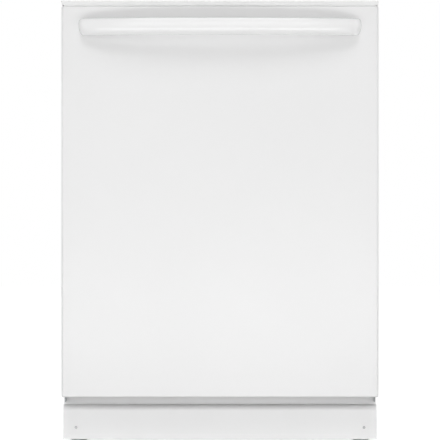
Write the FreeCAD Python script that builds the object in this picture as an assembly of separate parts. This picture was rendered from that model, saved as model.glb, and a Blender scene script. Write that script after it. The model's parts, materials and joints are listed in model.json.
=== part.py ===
"""Built-in dishwasher for a 24 inch kitchen niche: white door with a bowed handle, top-edge controls,
steel tub, two racks, three spray levels, pump group and levelling legs. Millimetres.

Frame: X to the right seen from the front, Y from the door to the wall, Z up.
The origin is on the floor, under the middle of the overall box.
The door turns about X, opening towards -Y. Both racks leave the tub towards -Y.
"""

import FreeCAD, Part
import math
import os
from FreeCAD import Vector

# ---------------------------------------------------------------- driving dimensions
HEIGHT = 846.0  # floor to the top of the console
DEPTH = 666.0  # handle front to the back of the base
DOOR_W = 606.0
HANDLE_REACH = 50.0  # how far the handle stands in front of the door skin
DOOR_T = 60.0  # door skin to door liner
SEAL_GAP = 8.0  # door liner to tub flange
TOE_RECESS = 60.0  # door skin to toe kick
DOOR_BOTTOM = 88.5
HINGE_Z = 115.0
HINGE_BEHIND_SKIN = 21.0

Y_SKIN = -DEPTH / 2 + HANDLE_REACH
Y_LINER = Y_SKIN + DOOR_T
Y_FLANGE = Y_LINER + SEAL_GAP
Y_REAR = DEPTH / 2
HINGE_Y = Y_SKIN + HINGE_BEHIND_SKIN
HALF_DOOR = DOOR_W / 2

SHEET = 1.2  # pressed sheet steel
LIP_H = 8.0  # console front lip
LIP_GAP = 1.7  # dark gap under the console lip
DOOR_TOP = HEIGHT - LIP_H - LIP_GAP
SKIN_BEND = 5.0

TUB_HALF = 283.0  # tub side wall, outside
TUB_TOP = 818.0
TUB_BACK = 300.0
TUB_FLOOR = 150.0
FLANGE_HALF = 300.0
FLANGE_TOP = 838.0
FLANGE_BOTTOM = 162.0

SUMP_Y = 30.0  # sump and both lower rotating parts share this centre
WELL_R = 122.0
SUMP_R = 118.0
DISH_R = 220.0
DISH_DROP = 14.0

RAIL_IN, RAIL_OUT = 262.0, 300.0  # base side rails
RAIL_Z0, RAIL_Z1 = 20.0, 96.0
RAIL_FRONT = -205.0

WHEEL_R = 17.0
WHEEL_X0, WHEEL_X1 = 262.0, 273.0
TRACK_TOP = 155.5
WHEEL_Z = TRACK_TOP + 0.3 + WHEEL_R
WHEEL_YS = (-50.0, 200.0)

LOWER_HALF, LOWER_Y0, LOWER_Y1 = 252.0, -183.0, 266.0
LOWER_Z0, LOWER_Z1 = 202.0, 322.0
UPPER_HALF, UPPER_Y0, UPPER_Y1 = 248.0, -185.0, 262.0
UPPER_Z0, UPPER_Z1 = 472.0, 592.0
WIRE, FRAME_WIRE = 1.8, 2.5  # wire radii

LOWER_ARM_Z, LOWER_ARM_R = 168.0, 232.0
UPPER_ARM_Z, UPPER_ARM_R, UPPER_ARM_Y = 430.0, 205.0, 35.0
FEED_Z = 459.0

SPRING_ARM = 26.0  # pivot to spring stud
SPRING_X, SPRING_Z = 292.0, HINGE_Z + 21.5
LEG_X, LEG_YS = 274.0, (-184.0, 300.0)


# ---------------------------------------------------------------- helpers
def box(x0, x1, y0, y1, z0, z1):
    return Part.makeBox(x1 - x0, y1 - y0, z1 - z0, Vector(x0, y0, z0))


def rod(start, end, radius):
    a, b = Vector(*start), Vector(*end)
    return Part.makeCylinder(radius, (b - a).Length, a, b - a)


def fuse(shapes):
    return shapes[0].multiFuse(shapes[1:]).removeSplitter()


def cut(shape, *tools):
    return shape.cut(list(tools)).removeSplitter()


def mirrored(shape):
    return shape.mirror(Vector(0, 0, 0), Vector(1, 0, 0))


def both_sides(*shapes):
    return [*shapes, *(mirrored(s) for s in shapes)]


def edges_along(shape, axis, test=lambda b: True):
    """Straight edges parallel to an axis whose bounding box passes the test."""
    found = []
    for e in shape.Edges:
        b = e.BoundBox
        spans = {"x": b.XLength, "y": b.YLength, "z": b.ZLength}
        along = spans.pop(axis)
        if along > 0.5 and max(spans.values()) < 0.01 and test(b):
            found.append(e)
    return found


def fillet(shape, radius, axis, test=lambda b: True):
    return shape.makeFillet(radius, edges_along(shape, axis, test))


def extruded(points, direction):
    """A prism on the polygon through the points."""
    corners = [Vector(*p) for p in points]
    wire = Part.makePolygon([*corners, corners[0]])
    return Part.Face(wire).extrude(Vector(*direction))


def revolved(profile, x, y):
    """A solid turned about the vertical line at x, y from (radius, z) corners."""
    corners = [Vector(x + r, y, z) for r, z in profile]
    face = Part.Face(Part.makePolygon([*corners, corners[0]]))
    return face.revolve(Vector(x, y, 0), Vector(0, 0, 1), 360)


def rounded_path(points, radius):
    """Straight runs joined by tangent arcs of one radius."""
    corners = [Vector(*p) for p in points]
    edges, start = [], corners[0]
    for before, corner, after in zip(corners, corners[1:], corners[2:]):
        into = (corner - before).normalize()
        out = (after - corner).normalize()
        turn = into.getAngle(out)
        back = radius * math.tan(turn / 2)
        a, b = corner - into * back, corner + out * back
        toward = (out - into).normalize()
        centre = corner + toward * (radius / math.cos(turn / 2))
        middle = centre - toward * radius
        edges.append(Part.LineSegment(start, a).toShape())
        edges.append(Part.Arc(a, middle, b).toShape())
        start = b
    edges.append(Part.LineSegment(start, corners[-1]).toShape())
    return Part.Wire(edges)


def swept(points, bend, radius):
    """A round bar or hose along a rounded path."""
    path = rounded_path(points, bend)
    heading = Vector(*points[1]) - Vector(*points[0])
    ring = Part.Wire([Part.makeCircle(radius, Vector(*points[0]), heading)])
    solid = path.makePipeShell([ring], True, False)
    expected = math.pi * radius**2 * path.Length
    if abs(solid.Volume / expected - 1) > 0.02:
        raise ValueError(f"sweep volume {solid.Volume:.0f}, expected {expected:.0f}")
    return solid


def wire_bend(corner, from_dir, to_dir, bend, radius):
    """A quarter-turn of rack wire in place of a square corner."""
    into, out = Vector(*from_dir), Vector(*to_dir)
    c = Vector(*corner)
    centre = c - into * bend + out * bend
    start = c - into * bend
    ring = Part.Face(Part.Wire([Part.makeCircle(radius, start, into)]))
    return ring.revolve(centre, into.cross(out), 90)


def save(name, *shapes):
    solids = [s for shape in shapes for s in shape.Solids]
    for s in solids:
        if not s.isValid() or s.Volume <= 0:
            raise ValueError(f"{name} has a bad solid")
    target = solids[0] if len(solids) == 1 else Part.makeCompound(solids)
    target.exportStep(f"parts/{name}.step")
    print(f"{name}: {len(solids)} solids, {sum(s.Volume for s in solids) / 1000:.1f} cm3")


# ---------------------------------------------------------------- door
DISP_X0, DISP_X1, DISP_Z0, DISP_Z1 = -110.0, 100.0, 372.0, 482.0
VENT_X, VENT_Z, VENT_R = 205.0, 640.0, 36.0
CAVITY_FRONT = HINGE_Y  # front limit of the liner's folded edges
HANDLE_Z, HANDLE_END = HEIGHT - 50.5, 262.0
LINER_SCREW_X = 275.0  # inside the tub's seal
ARM_X0, ARM_X1 = 291.0, 294.0
PIN_R = 5.0
STUD_R = 3.0
STUD = (HINGE_Y + SPRING_ARM * math.sin(math.pi / 4), HINGE_Z + SPRING_ARM * math.cos(math.pi / 4))
LINER_LOW = 125.0  # liner's bottom edge between the hinges
LINER_SIDE_LOW = 150.0  # and above the hinges
LINER_HALF = 297.0


def door_outer_panel():
    """White painted skin: a pan with rounded vertical bends and folded edges."""
    deep = 22.0
    outer = box(-HALF_DOOR, HALF_DOOR, Y_SKIN, Y_SKIN + deep, DOOR_BOTTOM, DOOR_TOP)
    outer = fillet(outer, SKIN_BEND, "z", lambda b: b.YMin < Y_SKIN + 1)
    outer = fillet(outer, 3.0, "x", lambda b: b.YMin < Y_SKIN + 1)
    inner_half = HALF_DOOR - SHEET
    inner = box(-inner_half, inner_half, Y_SKIN + SHEET, Y_SKIN + deep + 1,
                DOOR_BOTTOM + SHEET, DOOR_TOP - SHEET)
    inner = fillet(inner, SKIN_BEND - SHEET, "z", lambda b: b.YMin < Y_SKIN + 2)
    pan = outer.cut(inner)
    top_fold, bottom_fold = 8.0, 18.0
    shorten_top = box(-inner_half, inner_half, Y_SKIN + top_fold, 0, DOOR_TOP - 2, DOOR_TOP + 1)
    shorten_bottom = box(-inner_half, inner_half, Y_SKIN + bottom_fold, 0, DOOR_BOTTOM - 1, DOOR_BOTTOM + 2)
    notch = box(283, inner_half, Y_SKIN + 6, 0, DOOR_BOTTOM - 1, DOOR_BOTTOM + 2)
    holes = [rod((s * HANDLE_END, Y_SKIN - 1, HANDLE_Z), (s * HANDLE_END, Y_SKIN + 3, HANDLE_Z), 3.0)
             for s in (-1, 1)]
    return cut(pan, shorten_top, shorten_bottom, notch, mirrored(notch), *holes)


def door_inner_panel():
    """Steel liner: flat face with folded side edges, stepped at the hinges."""
    face_front = Y_LINER - SHEET
    face = box(-LINER_HALF, LINER_HALF, face_front, Y_LINER, LINER_SIDE_LOW, FLANGE_TOP)
    tongue = box(-280, 280, face_front, Y_LINER, LINER_LOW, LINER_SIDE_LOW)
    fold = box(LINER_HALF - SHEET, LINER_HALF, CAVITY_FRONT, Y_LINER, LINER_SIDE_LOW, FLANGE_TOP)
    liner = fuse([face, tongue, *both_sides(fold)])
    strike_slot = box(-16, 16, CAVITY_FRONT, Y_LINER + 1, 827, 836.5)
    dispenser_hole = box(DISP_X0 + 6, DISP_X1 - 6, CAVITY_FRONT, Y_LINER + 1, DISP_Z0 + 6, DISP_Z1 - 6)
    vent_hole = rod((VENT_X, CAVITY_FRONT, VENT_Z), (VENT_X, Y_LINER + 1, VENT_Z), VENT_R - 4)
    return cut(liner, strike_slot, dispenser_hole, vent_hole)


def console_shell():
    """White top trim: front lip, top face with button holes, and the pocket for the electronics."""
    top_t, lip_over = 3.0, 1.5
    y_front, y_back = Y_SKIN - lip_over, Y_LINER + 2.0
    half_top, half_low = HALF_DOOR + 0.75, HALF_DOOR - 1.1
    z_lip = HEIGHT - LIP_H
    lip = Part.makeLoft([
        Part.makePolygon([Vector(sx * half, y, z) for sx, y in
                          ((-1, y0), (1, y0), (1, y_back), (-1, y_back), (-1, y0))])
        for half, y0, z in ((half_low, Y_SKIN, z_lip), (half_top, y_front, HEIGHT))], True)
    hollow = box(-HALF_DOOR + 3, HALF_DOOR - 3, Y_SKIN + 3, Y_LINER + 3, z_lip - 1, HEIGHT - top_t)
    shell = lip.cut(hollow)
    wall = 2.0
    y0, y1 = Y_SKIN + 10, Y_LINER - 2.5
    pocket = box(-286, 286, y0, y1, 800, HEIGHT - top_t)
    pocket = pocket.cut(box(-286 + wall, 286 - wall, y0 + wall, y1 - wall, 800 + wall, HEIGHT))
    pocket = pocket.cut(box(-38, 38, y0 + 20, y1 + 1, 799, HEIGHT - top_t))
    shell = shell.fuse(pocket)
    holes = [box(x - 12, x + 12, BUTTON_Y - 7, BUTTON_Y + 7, HEIGHT - 5, HEIGHT + 1) for x in BUTTON_XS]
    lens_seat = box(*LENS_X, LENS_Y[0], LENS_Y[1], HEIGHT - 1.2, HEIGHT + 1)
    return cut(shell, *holes, lens_seat)


BUTTON_Y = Y_SKIN + 30.0
BUTTON_XS = (-200.0, -150.0, -100.0, 150.0)
BUTTON_NAMES = ("button_cycle", "button_options", "button_delay", "button_start")
LENS_X, LENS_Y = (70.0, 125.0), (BUTTON_Y - 7.0, BUTTON_Y + 7.0)
BUTTON_TRAVEL = 1.0
BOARD_TOP = 831.0


def console_button(x):
    """A key cap with a stem that ends just above the board."""
    cap = box(x - 11.6, x + 11.6, BUTTON_Y - 6.6, BUTTON_Y + 6.6, HEIGHT - 5.2, HEIGHT - 0.2)
    cap = fillet(cap, 3.0, "z")
    stem = rod((x, BUTTON_Y, BOARD_TOP + BUTTON_TRAVEL + 0.5), (x, BUTTON_Y, HEIGHT - 5.2), 3.0)
    return fuse([cap, stem])


def console_display_lens():
    lens = box(LENS_X[0] + 0.3, LENS_X[1] - 0.3, LENS_Y[0] + 0.3, LENS_Y[1] - 0.3, HEIGHT - 1.2, HEIGHT - 0.1)
    return fillet(lens, 3.0, "z")


def control_board():
    """Circuit board with its taller components."""
    board = box(-260, 240, Y_SKIN + 16, Y_LINER - 10, BOARD_TOP - 1.6, BOARD_TOP)
    board = board.cut(box(-44, 44, Y_SKIN + 25, 0, 0, HEIGHT))
    relays = [box(x, x + 18, Y_SKIN + 18, Y_SKIN + 30, BOARD_TOP - 16, BOARD_TOP - 1.6) for x in (60, 90, 120)]
    return fuse([board, *relays])


def latch_housing():
    y0, y1 = Y_SKIN + 31, Y_LINER - 3.0
    case = box(-34, 34, y0, y1, 804, 842)
    channel = box(-16, 16, y0 + 4, y1 + 1, 806, 842.5)
    return case.cut(channel)


LATCH_PIVOT = (Y_SKIN + 42.0, 812.0)


def latch_hook():
    """Spring lever whose nose rests just under the strike tongue."""
    y, z = LATCH_PIVOT
    arm = extruded([(-9, y - 4, z - 4), (-9, y + 4, z - 4), (-9, y + 11, z + 12), (-9, y + 7, z + 19),
                    (-9, y - 1, z + 19), (-9, y - 4, z + 6)], (18, 0, 0))
    return arm.cut(rod((-10, y, z), (10, y, z), 1.8))


def latch_pin():
    y, z = LATCH_PIVOT
    return rod((-16, y, z), (16, y, z), 1.75)


def handle_section(at, outward):
    """D-shaped section: crisp top edge, front face that rolls under. 'outward' points away from the door."""
    shape = ((-7.0, -13.0), (0.5, -16.5), (6.6, -10.5), (8.2, 0.5), (7.4, 10.0),
             (5.6, 15.2), (0.0, 16.5), (-6.5, 14.8), (-8.0, 1.0))
    points = [at + outward * u + Vector(0, 0, v) for u, v in shape]
    curve = Part.BSplineCurve()
    curve.interpolate(points, PeriodicFlag=True)
    return Part.Wire([curve.toShape()])


def handle_path():
    """Half the bow as (x, distance from skin, heading): a shallow curve, then a quarter turn to the skin."""
    turn = 20.0
    base = HANDLE_END - turn
    face = HANDLE_REACH - 8.2
    arc = [(base + turn * math.cos(a), turn * math.sin(a), a) for a in map(math.radians, (0, 20, 40, 60, 76))]
    x1, d1, _ = arc[-1]
    bow = []
    for i in range(1, 9):
        x = x1 * (1 - i / 8)
        u = x / x1
        d = face - (face - d1) * (0.55 * u**2 + 0.45 * u**6)
        slope = (face - d1) * (1.1 * u + 2.7 * u**5) / x1
        bow.append((x, d, math.pi / 2 - math.atan(slope)))
    return arc + bow


def handle_bar():
    """A shallow bow whose ends turn back into the door skin."""
    half = [(Vector(x, Y_SKIN - d, HANDLE_Z), Vector(math.cos(a), -math.sin(a), 0))
            for x, d, a in handle_path()]
    other = [(Vector(-p.x, p.y, p.z), Vector(-n.x, n.y, 0)) for p, n in half[:-1]]
    stations = other + half[::-1]
    bar = Part.makeLoft([handle_section(p, n) for p, n in stations], True)
    screw_hole = rod((HANDLE_END, Y_SKIN + 1, HANDLE_Z), (HANDLE_END, Y_SKIN - 12, HANDLE_Z), 2.6)
    return bar.cut([screw_hole, mirrored(screw_hole)])


def door_screws():
    """Handle screws from inside the skin, and the liner's edge screws."""
    screws = []
    for s in (-1, 1):
        x, inside = s * HANDLE_END, Y_SKIN + SHEET
        shank = rod((x, inside, HANDLE_Z), (x, Y_SKIN - 10, HANDLE_Z), 2.5)
        head = rod((x, inside, HANDLE_Z), (x, inside + 3.5, HANDLE_Z), 5.0)
        screws.append(fuse([shank, head]))
        for z in (200, 350, 500, 650, 790):
            screws.append(rod((s * LINER_SCREW_X, Y_LINER, z), (s * LINER_SCREW_X, Y_LINER + 1.6, z), 3.6))
    return screws


def dispenser_body():
    """Moulded box let into the liner with a detergent cup and a rinse-aid seat."""
    rim = box(DISP_X0, DISP_X1, Y_LINER, Y_LINER + 2.0, DISP_Z0, DISP_Z1)
    rim = fillet(rim, 8.0, "y")
    depth = 34.0
    body = box(DISP_X0 + 7, DISP_X1 - 7, Y_LINER - depth, Y_LINER, DISP_Z0 + 7, DISP_Z1 - 7)
    cup = box(*CUP_X, Y_LINER - depth + 3, Y_LINER + 3, *CUP_Z)
    cup = fillet(cup, 8.0, "y")
    seat = rod((CAP_X, Y_LINER - 12, CAP_Z), (CAP_X, Y_LINER + 3, CAP_Z), CAP_R + 0.5)
    return fuse([rim, body]).cut([cup, seat])


CUP_X, CUP_Z = (-96.0, -34.0), (388.0, 466.0)
CAP_X, CAP_Z, CAP_R = 66.0, 448.0, 17.0


def dispenser_lid():
    """Sliding cover over the detergent cup, with a finger rib."""
    y0 = Y_LINER + 2.3
    lid = box(CUP_X[0] - 4, CUP_X[1] + 4, y0, y0 + 2.6, CUP_Z[0] - 4, CUP_Z[1] + 4)
    lid = fillet(lid, 6.0, "y")
    rib = box(CUP_X[1] - 10, CUP_X[1] - 6, y0 + 2.6, y0 + 6.6, CUP_Z[0] + 10, CUP_Z[1] - 10)
    return fuse([lid, rib])


def rinse_aid_cap():
    disc = rod((CAP_X, Y_LINER - 11.5, CAP_Z), (CAP_X, Y_LINER + 5.5, CAP_Z), CAP_R)
    grip = box(CAP_X - 3, CAP_X + 3, Y_LINER + 5.5, Y_LINER + 10, CAP_Z - 14, CAP_Z + 14)
    return fuse([disc, grip])


def vent_housing():
    """Round drying vent: collar, slotted cover and duct through the door cavity."""
    cover = rod((VENT_X, Y_LINER, VENT_Z), (VENT_X, Y_LINER + 4, VENT_Z), VENT_R)
    duct = rod((VENT_X, Y_LINER - 36, VENT_Z), (VENT_X, Y_LINER, VENT_Z), VENT_R - 5)
    bore = rod((VENT_X, Y_LINER - 37, VENT_Z), (VENT_X, Y_LINER - 4, VENT_Z), VENT_R - 8)
    slots = [box(VENT_X - w, VENT_X + w, Y_LINER - 5, Y_LINER + 5, VENT_Z + dz - 2.5, VENT_Z + dz + 2.5)
             for dz, w in ((-20, 16), (-10, 23), (0, 25), (10, 23), (20, 16))]
    return fuse([cover, duct]).cut([bore, *slots])


def hinge_arm():
    """Steel lever on the door's side with its pivot eye and spring stud."""
    y, z = HINGE_Y, HINGE_Z
    stem = extruded([(ARM_X0, y - 9, z), (ARM_X0, y + 9, z), (ARM_X0, y + 22, z + 60),
                     (ARM_X0, y + 22, z + 225), (ARM_X0, y - 2, z + 225), (ARM_X0, y - 9, z + 80)],
                    (ARM_X1 - ARM_X0, 0, 0))
    eye = rod((ARM_X0, y, z), (ARM_X1, y, z), 14.0)
    lug = rod((ARM_X0, *STUD), (ARM_X1, *STUD), 6.0)
    web = extruded([(ARM_X0, y, z - 6), (ARM_X0, y + 20, z + 14), (ARM_X0, y + 14, z + 24),
                    (ARM_X0, y - 6, z + 6)], (ARM_X1 - ARM_X0, 0, 0))
    tabs = [box(ARM_X1, LINER_HALF - SHEET, y, y + 18, z + up, z + up + 16) for up in (80, 200)]
    stud = rod((284.6, *STUD), (ARM_X0, *STUD), STUD_R)
    arm = fuse([stem, eye, lug, web, stud, *tabs])
    return arm.cut(rod((ARM_X0 - 1, y, z), (ARM_X1 + 1, y, z), PIN_R + 0.08))


def door_bottom_seal():
    """Rubber strip that closes the gap to the tub's front edge."""
    y0 = Y_LINER
    half = 268.0
    profile = [(-half, y0 + dy, z) for dy, z in ((0, 140), (3, 140), (6.5, 147), (5, 154), (0, 154))]
    return extruded(profile, (2 * half, 0, 0))


# ---------------------------------------------------------------- base
def base_frame():
    """Side and cross channels, tub posts and the four leg bosses."""
    t = 2.0
    web = box(RAIL_OUT - t, RAIL_OUT, RAIL_FRONT, Y_REAR, RAIL_Z0, RAIL_Z1)
    top = box(RAIL_IN, RAIL_OUT - t, RAIL_FRONT, Y_REAR, RAIL_Z1 - t, RAIL_Z1)
    foot = box(280, RAIL_OUT - t, RAIL_FRONT, Y_REAR, RAIL_Z0, RAIL_Z0 + t)
    bosses, posts = [], []
    for y in LEG_YS:
        boss = box(RAIL_IN, RAIL_OUT - t, y - 16, y + 16, 44, 60)
        bore = rod((LEG_X, y, 0), (LEG_X, y, RAIL_Z1 + 1), LEG_R + 0.3)
        foot, top = foot.cut(bore), top.cut(bore)
        bosses.append(boss.cut(bore))
    for y in (-196.0, 268.0):
        posts.append(box(RAIL_IN, 281, y, y + 22, RAIL_Z1, TUB_FLOOR - 0.2))
    side = both_sides(web, top, foot, *bosses, *posts)
    front = box(-RAIL_IN, RAIL_IN, RAIL_FRONT, RAIL_FRONT + 14, RAIL_Z1 - 30, RAIL_Z1)
    front = front.cut(box(-RAIL_IN, RAIL_IN, RAIL_FRONT + t, RAIL_FRONT + 15, RAIL_Z1 - 28, RAIL_Z1 - t))
    rear = box(-RAIL_IN, RAIL_IN, Y_REAR - t, Y_REAR, RAIL_Z0, RAIL_Z1)
    rear_lip = box(-RAIL_IN, RAIL_IN, Y_REAR - 16, Y_REAR - t, RAIL_Z1 - t, RAIL_Z1)
    outlet = rod((DRAIN_X, Y_REAR - 20, DRAIN_Z), (DRAIN_X, Y_REAR + 1, DRAIN_Z), 14.0)
    sump_beam = box(-RAIL_IN, RAIL_IN, 160, 184, RAIL_Z1 - t, RAIL_Z1)
    return [*side, front, rear.cut(outlet), rear_lip, sump_beam]


LEG_R = 5.0


def levelling_leg(x, y):
    """Threaded stem with a flared foot and a hexagon for the spanner."""
    foot = revolved([(0, 0), (17, 0), (17, 3), (11, 8), (0, 8)], x, y)
    hexagon = Part.makePolygon([Vector(x + 9 * math.cos(a), y + 9 * math.sin(a), 8)
                                for a in (i * math.pi / 3 for i in range(7))])
    nut = Part.Face(hexagon).extrude(Vector(0, 0, 9))
    return fuse([foot, nut, rod((x, y, 8), (x, y, 92), LEG_R)])


def hinge_bracket():
    """Fixed ear on the base rail carrying the riveted hinge pin."""
    x0, x1 = 297.4, RAIL_OUT
    y, z = HINGE_Y, HINGE_Z
    ear = extruded([(x0, y - 6, z - 10), (x0, y + 30, z - 13), (x0, y + 36, z - 39), (x0, y + 57, z - 39),
                    (x0, y + 57, z + 9), (x0, y - 4, z + 10)], (x1 - x0, 0, 0))
    eye = rod((x0, y, z), (x1, y, z), 12.0)
    pin = rod((289.6, y, z), (x0, y, z), PIN_R)
    rivet = rod((x1, y, z), (x1 + 1.0, y, z), 8.0)
    return fuse([ear, eye, pin, rivet])


KICK_Y = Y_SKIN + TOE_RECESS
KICK_BOTTOM, KICK_ROLL, KICK_TOP = 4.0, 12.0, 71.0
KICK_SCREW_X, KICK_SCREW_Z = HALF_DOOR - 24.7, 26.5


def toe_kick():
    """White plate with a rolled top edge and a short floor fold."""
    x0 = -HALF_DOOR
    straight = KICK_TOP - KICK_ROLL
    y = KICK_Y
    outer = [Vector(x0, y + 14, KICK_BOTTOM), Vector(x0, y, KICK_BOTTOM), Vector(x0, y, straight)]
    s45 = math.sqrt(0.5)
    roll_r = KICK_ROLL
    centre = Vector(x0, y + roll_r, straight)
    top = centre + Vector(0, 0, roll_r)
    outer_arc = Part.Arc(outer[2], centre + Vector(0, -roll_r * s45, roll_r * s45), top)
    r = roll_r - SHEET
    under_top, inside = centre + Vector(0, 0, r), centre + Vector(0, -r, 0)
    inner_arc = Part.Arc(under_top, centre + Vector(0, -r * s45, r * s45), inside)
    low = Vector(x0, y + SHEET, KICK_BOTTOM + SHEET)
    edges = [Part.LineSegment(outer[0], outer[1]).toShape(), Part.LineSegment(outer[1], outer[2]).toShape(),
             outer_arc.toShape(),
             Part.LineSegment(top, under_top).toShape(),
             inner_arc.toShape(), Part.LineSegment(inside, low).toShape(),
             Part.LineSegment(low, Vector(x0, y + 14, KICK_BOTTOM + SHEET)).toShape(),
             Part.LineSegment(Vector(x0, y + 14, KICK_BOTTOM + SHEET), outer[0]).toShape()]
    plate = Part.Face(Part.Wire(edges)).extrude(Vector(DOOR_W, 0, 0))
    hole = rod((KICK_SCREW_X, y - 1, KICK_SCREW_Z), (KICK_SCREW_X, y + 3, KICK_SCREW_Z), 2.6)
    return cut(plate, hole, mirrored(hole))


def toe_kick_screw():
    """Countersunk-look washer screw with a cross recess."""
    x, z = KICK_SCREW_X, KICK_SCREW_Z
    head = rod((x, KICK_Y - 1.6, z), (x, KICK_Y, z), 4.0)
    head = head.cut([box(x - 2, x + 2, KICK_Y - 2, KICK_Y - 0.6, z - 0.6, z + 0.6),
                     box(x - 0.6, x + 0.6, KICK_Y - 2, KICK_Y - 0.6, z - 2, z + 2)])
    return fuse([head, rod((x, KICK_Y, z), (x, KICK_Y + 12.5, z), 2.4)])


def access_panel():
    """Inner cover behind the toe kick, with the screws' clip pads."""
    y0 = KICK_Y + KICK_ROLL + 2.0
    return box(-296, 296, y0, y0 + SHEET, 22, 104)


# ---------------------------------------------------------------- tub
def corner_strip(x, z, r_out, r_in, y0, y1):
    """Quarter-round strip at an upper right corner, bend centre at x, z."""
    ring = rod((x, y0, z), (x, y1, z), r_out)
    if r_in > 0:
        ring = ring.cut(rod((x, y0 - 1, z), (x, y1 + 1, z), r_in))
    return ring.common(box(x, x + r_out + 1, y0, y1, z, z + r_out + 1))


def tub_shell():
    """Steel walls, rounded upper corners, ceiling, back and the outward front flange."""
    t, r = SHEET, 28.0
    y_back = TUB_BACK - t
    low = TUB_FLOOR + t
    wall = box(TUB_HALF - t, TUB_HALF, Y_FLANGE, y_back, low, TUB_TOP - r)
    chute = box(TUB_HALF - 3, TUB_HALF + 1, CHUTE_Y[0] + 36, CHUTE_Y[1] - 36, 330, 350)
    left_wall = mirrored(wall.cut(chute))
    ceiling = box(-TUB_HALF + r, TUB_HALF - r, Y_FLANGE, y_back, TUB_TOP - t, TUB_TOP)
    corner = corner_strip(TUB_HALF - r, TUB_TOP - r, r, r - t, Y_FLANGE, y_back)
    back = box(-TUB_HALF, TUB_HALF, y_back, TUB_BACK, low, TUB_TOP)
    back = fillet(back, r, "y", lambda b: b.ZMin > TUB_TOP - 1)
    y1 = Y_FLANGE + t
    flange_side = box(TUB_HALF, FLANGE_HALF, Y_FLANGE, y1, FLANGE_BOTTOM, TUB_TOP)
    flange_top = box(-FLANGE_HALF, FLANGE_HALF, Y_FLANGE, y1, TUB_TOP, FLANGE_TOP)
    gusset = box(TUB_HALF - r, TUB_HALF, Y_FLANGE, y1, TUB_TOP - r, TUB_TOP)
    gusset = gusset.cut(rod((TUB_HALF - r, Y_FLANGE - 1, TUB_TOP - r), (TUB_HALF - r, y1 + 1, TUB_TOP - r), r))
    return [wall, left_wall, ceiling, back, flange_top, *both_sides(corner, flange_side, gusset)]


def tub_floor():
    """Floor pressing with a dished centre, wheel tracks, float tube and front lip."""
    f, t = TUB_FLOOR, SHEET
    inner = TUB_HALF
    plate = box(-inner, inner, Y_FLANGE, TUB_BACK, f, f + t)
    plate = plate.cut(rod((0, SUMP_Y, f - 1), (0, SUMP_Y, f + 3), DISH_R))
    low = f - DISH_DROP
    dish = revolved([(DISH_R, f), (DISH_R, f + t), (WELL_R, low + t), (WELL_R - 6, low + t),
                     (WELL_R - 6, low), (WELL_R, low)], 0, SUMP_Y)
    lip = box(-268, 268, Y_FLANGE, Y_FLANGE + t, f - 16, f)
    track = box(WHEEL_X0 - 4, TUB_HALF - 3, Y_FLANGE, 280, f + t, TRACK_TOP)
    float_tube = revolved([(7, f + t), (10, f + t), (10, f + 18), (7, f + 18)], FLOAT_X, FLOAT_Y)
    floor = fuse([plate, dish, lip, *both_sides(track), float_tube])
    return cut(floor, *[rod((x, y, 100), (x, y, 200), HEATER_R + 0.6) for x, y in HEATER_ENDS],
               rod((FLOAT_X, FLOAT_Y, 100), (FLOAT_X, FLOAT_Y, f + 3), 7.0))


def tub_gasket():
    """Rubber seal up both sides, round the corners and across the top of the flange."""
    y0, y1 = Y_LINER + 0.3, Y_FLANGE
    w, r_in = 11.0, 24.0
    strip = box(TUB_HALF, TUB_HALF + w, y0, y1, FLANGE_BOTTOM, TUB_TOP - r_in)
    header = box(-TUB_HALF + r_in, TUB_HALF - r_in, y0, y1, TUB_TOP, TUB_TOP + w)
    corner = corner_strip(TUB_HALF - r_in, TUB_TOP - r_in, r_in + w, r_in, y0, y1)
    return [header, *both_sides(strip, corner)]


def insulation_blanket():
    """Quilted jacket panels over the sides, top and back, left open around the hoses."""
    t, r = 7.0, 28.0
    x0, z0, y0 = TUB_HALF + 1, 190.0, -195.0
    x1, y1, z1 = x0 + t, TUB_BACK + 1 + t, TUB_TOP + 1 + t
    z_side = z1 - r - t
    right = box(x0, x1, y0, y1 - t, z0, z_side)
    left_front = box(-x1, -x0, y0, CHUTE_Y[0] - 8, z0, z_side)
    left_rear = box(-x1, -x0, 252, y1 - t, z0, z_side)
    left_upper = box(-x1, -x0, CHUTE_Y[0] - 8, 252, 556, z_side)
    top = box(-x1 + r + t, x1 - r - t, y0, y1 - t, z1 - t, z1)
    back = fillet(box(-x1, x1, y1 - t, y1, z0, z1), r + t, "y", lambda b: b.ZMin > z1 - 1)
    corner = corner_strip(x1 - r - t, z_side, r + t, r, y0, y1 - t)
    return [right, left_front, left_rear, left_upper, top, back, *both_sides(corner)]


def mounting_bracket():
    """Angle that screws up into the worktop."""
    x0, x1 = 236.0, 264.0
    y = Y_FLANGE + SHEET
    leg = box(x0, x1, y, y + 1.5, FLANGE_TOP - 9, HEIGHT)
    tab = box(x0, x1, y, y + 30, HEIGHT - 1.5, HEIGHT)
    return cut(fuse([leg, tab]), rod((250, y + 17, HEIGHT - 3), (250, y + 17, HEIGHT + 1), 2.75))


def latch_strike():
    y = Y_FLANGE + SHEET
    plate = box(-20, 20, y, y + 1.5, TUB_TOP + 2, FLANGE_TOP)
    arm = box(-12, 12, y, y + 8, FLANGE_TOP, FLANGE_TOP + 2)
    tongue = box(-12, 12, Y_FLANGE - 23, y + 8, FLANGE_TOP, FLANGE_TOP + 2)
    return fuse([plate, arm, tongue])


# ---------------------------------------------------------------- water and power
FILTER_X, FILTER_Y, FILTER_R = 58.0, SUMP_Y - 36.0, 32.0
PUMP_Z = 80.0
POST_R = 12.0
HEATER_R, HEATER_RING, HEATER_Z = 4.0, 190.0, 161.0
HEATER_GAP = math.radians(20)
HEATER_ENDS = [(s * HEATER_RING * math.sin(HEATER_GAP), SUMP_Y + HEATER_RING * math.cos(HEATER_GAP))
               for s in (-1, 1)]
FLOAT_X, FLOAT_Y = -206.0, -150.0
DRAIN_X, DRAIN_Z = -200.0, 72.0
CHUTE_Y = (36.0, 144.0)


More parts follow.
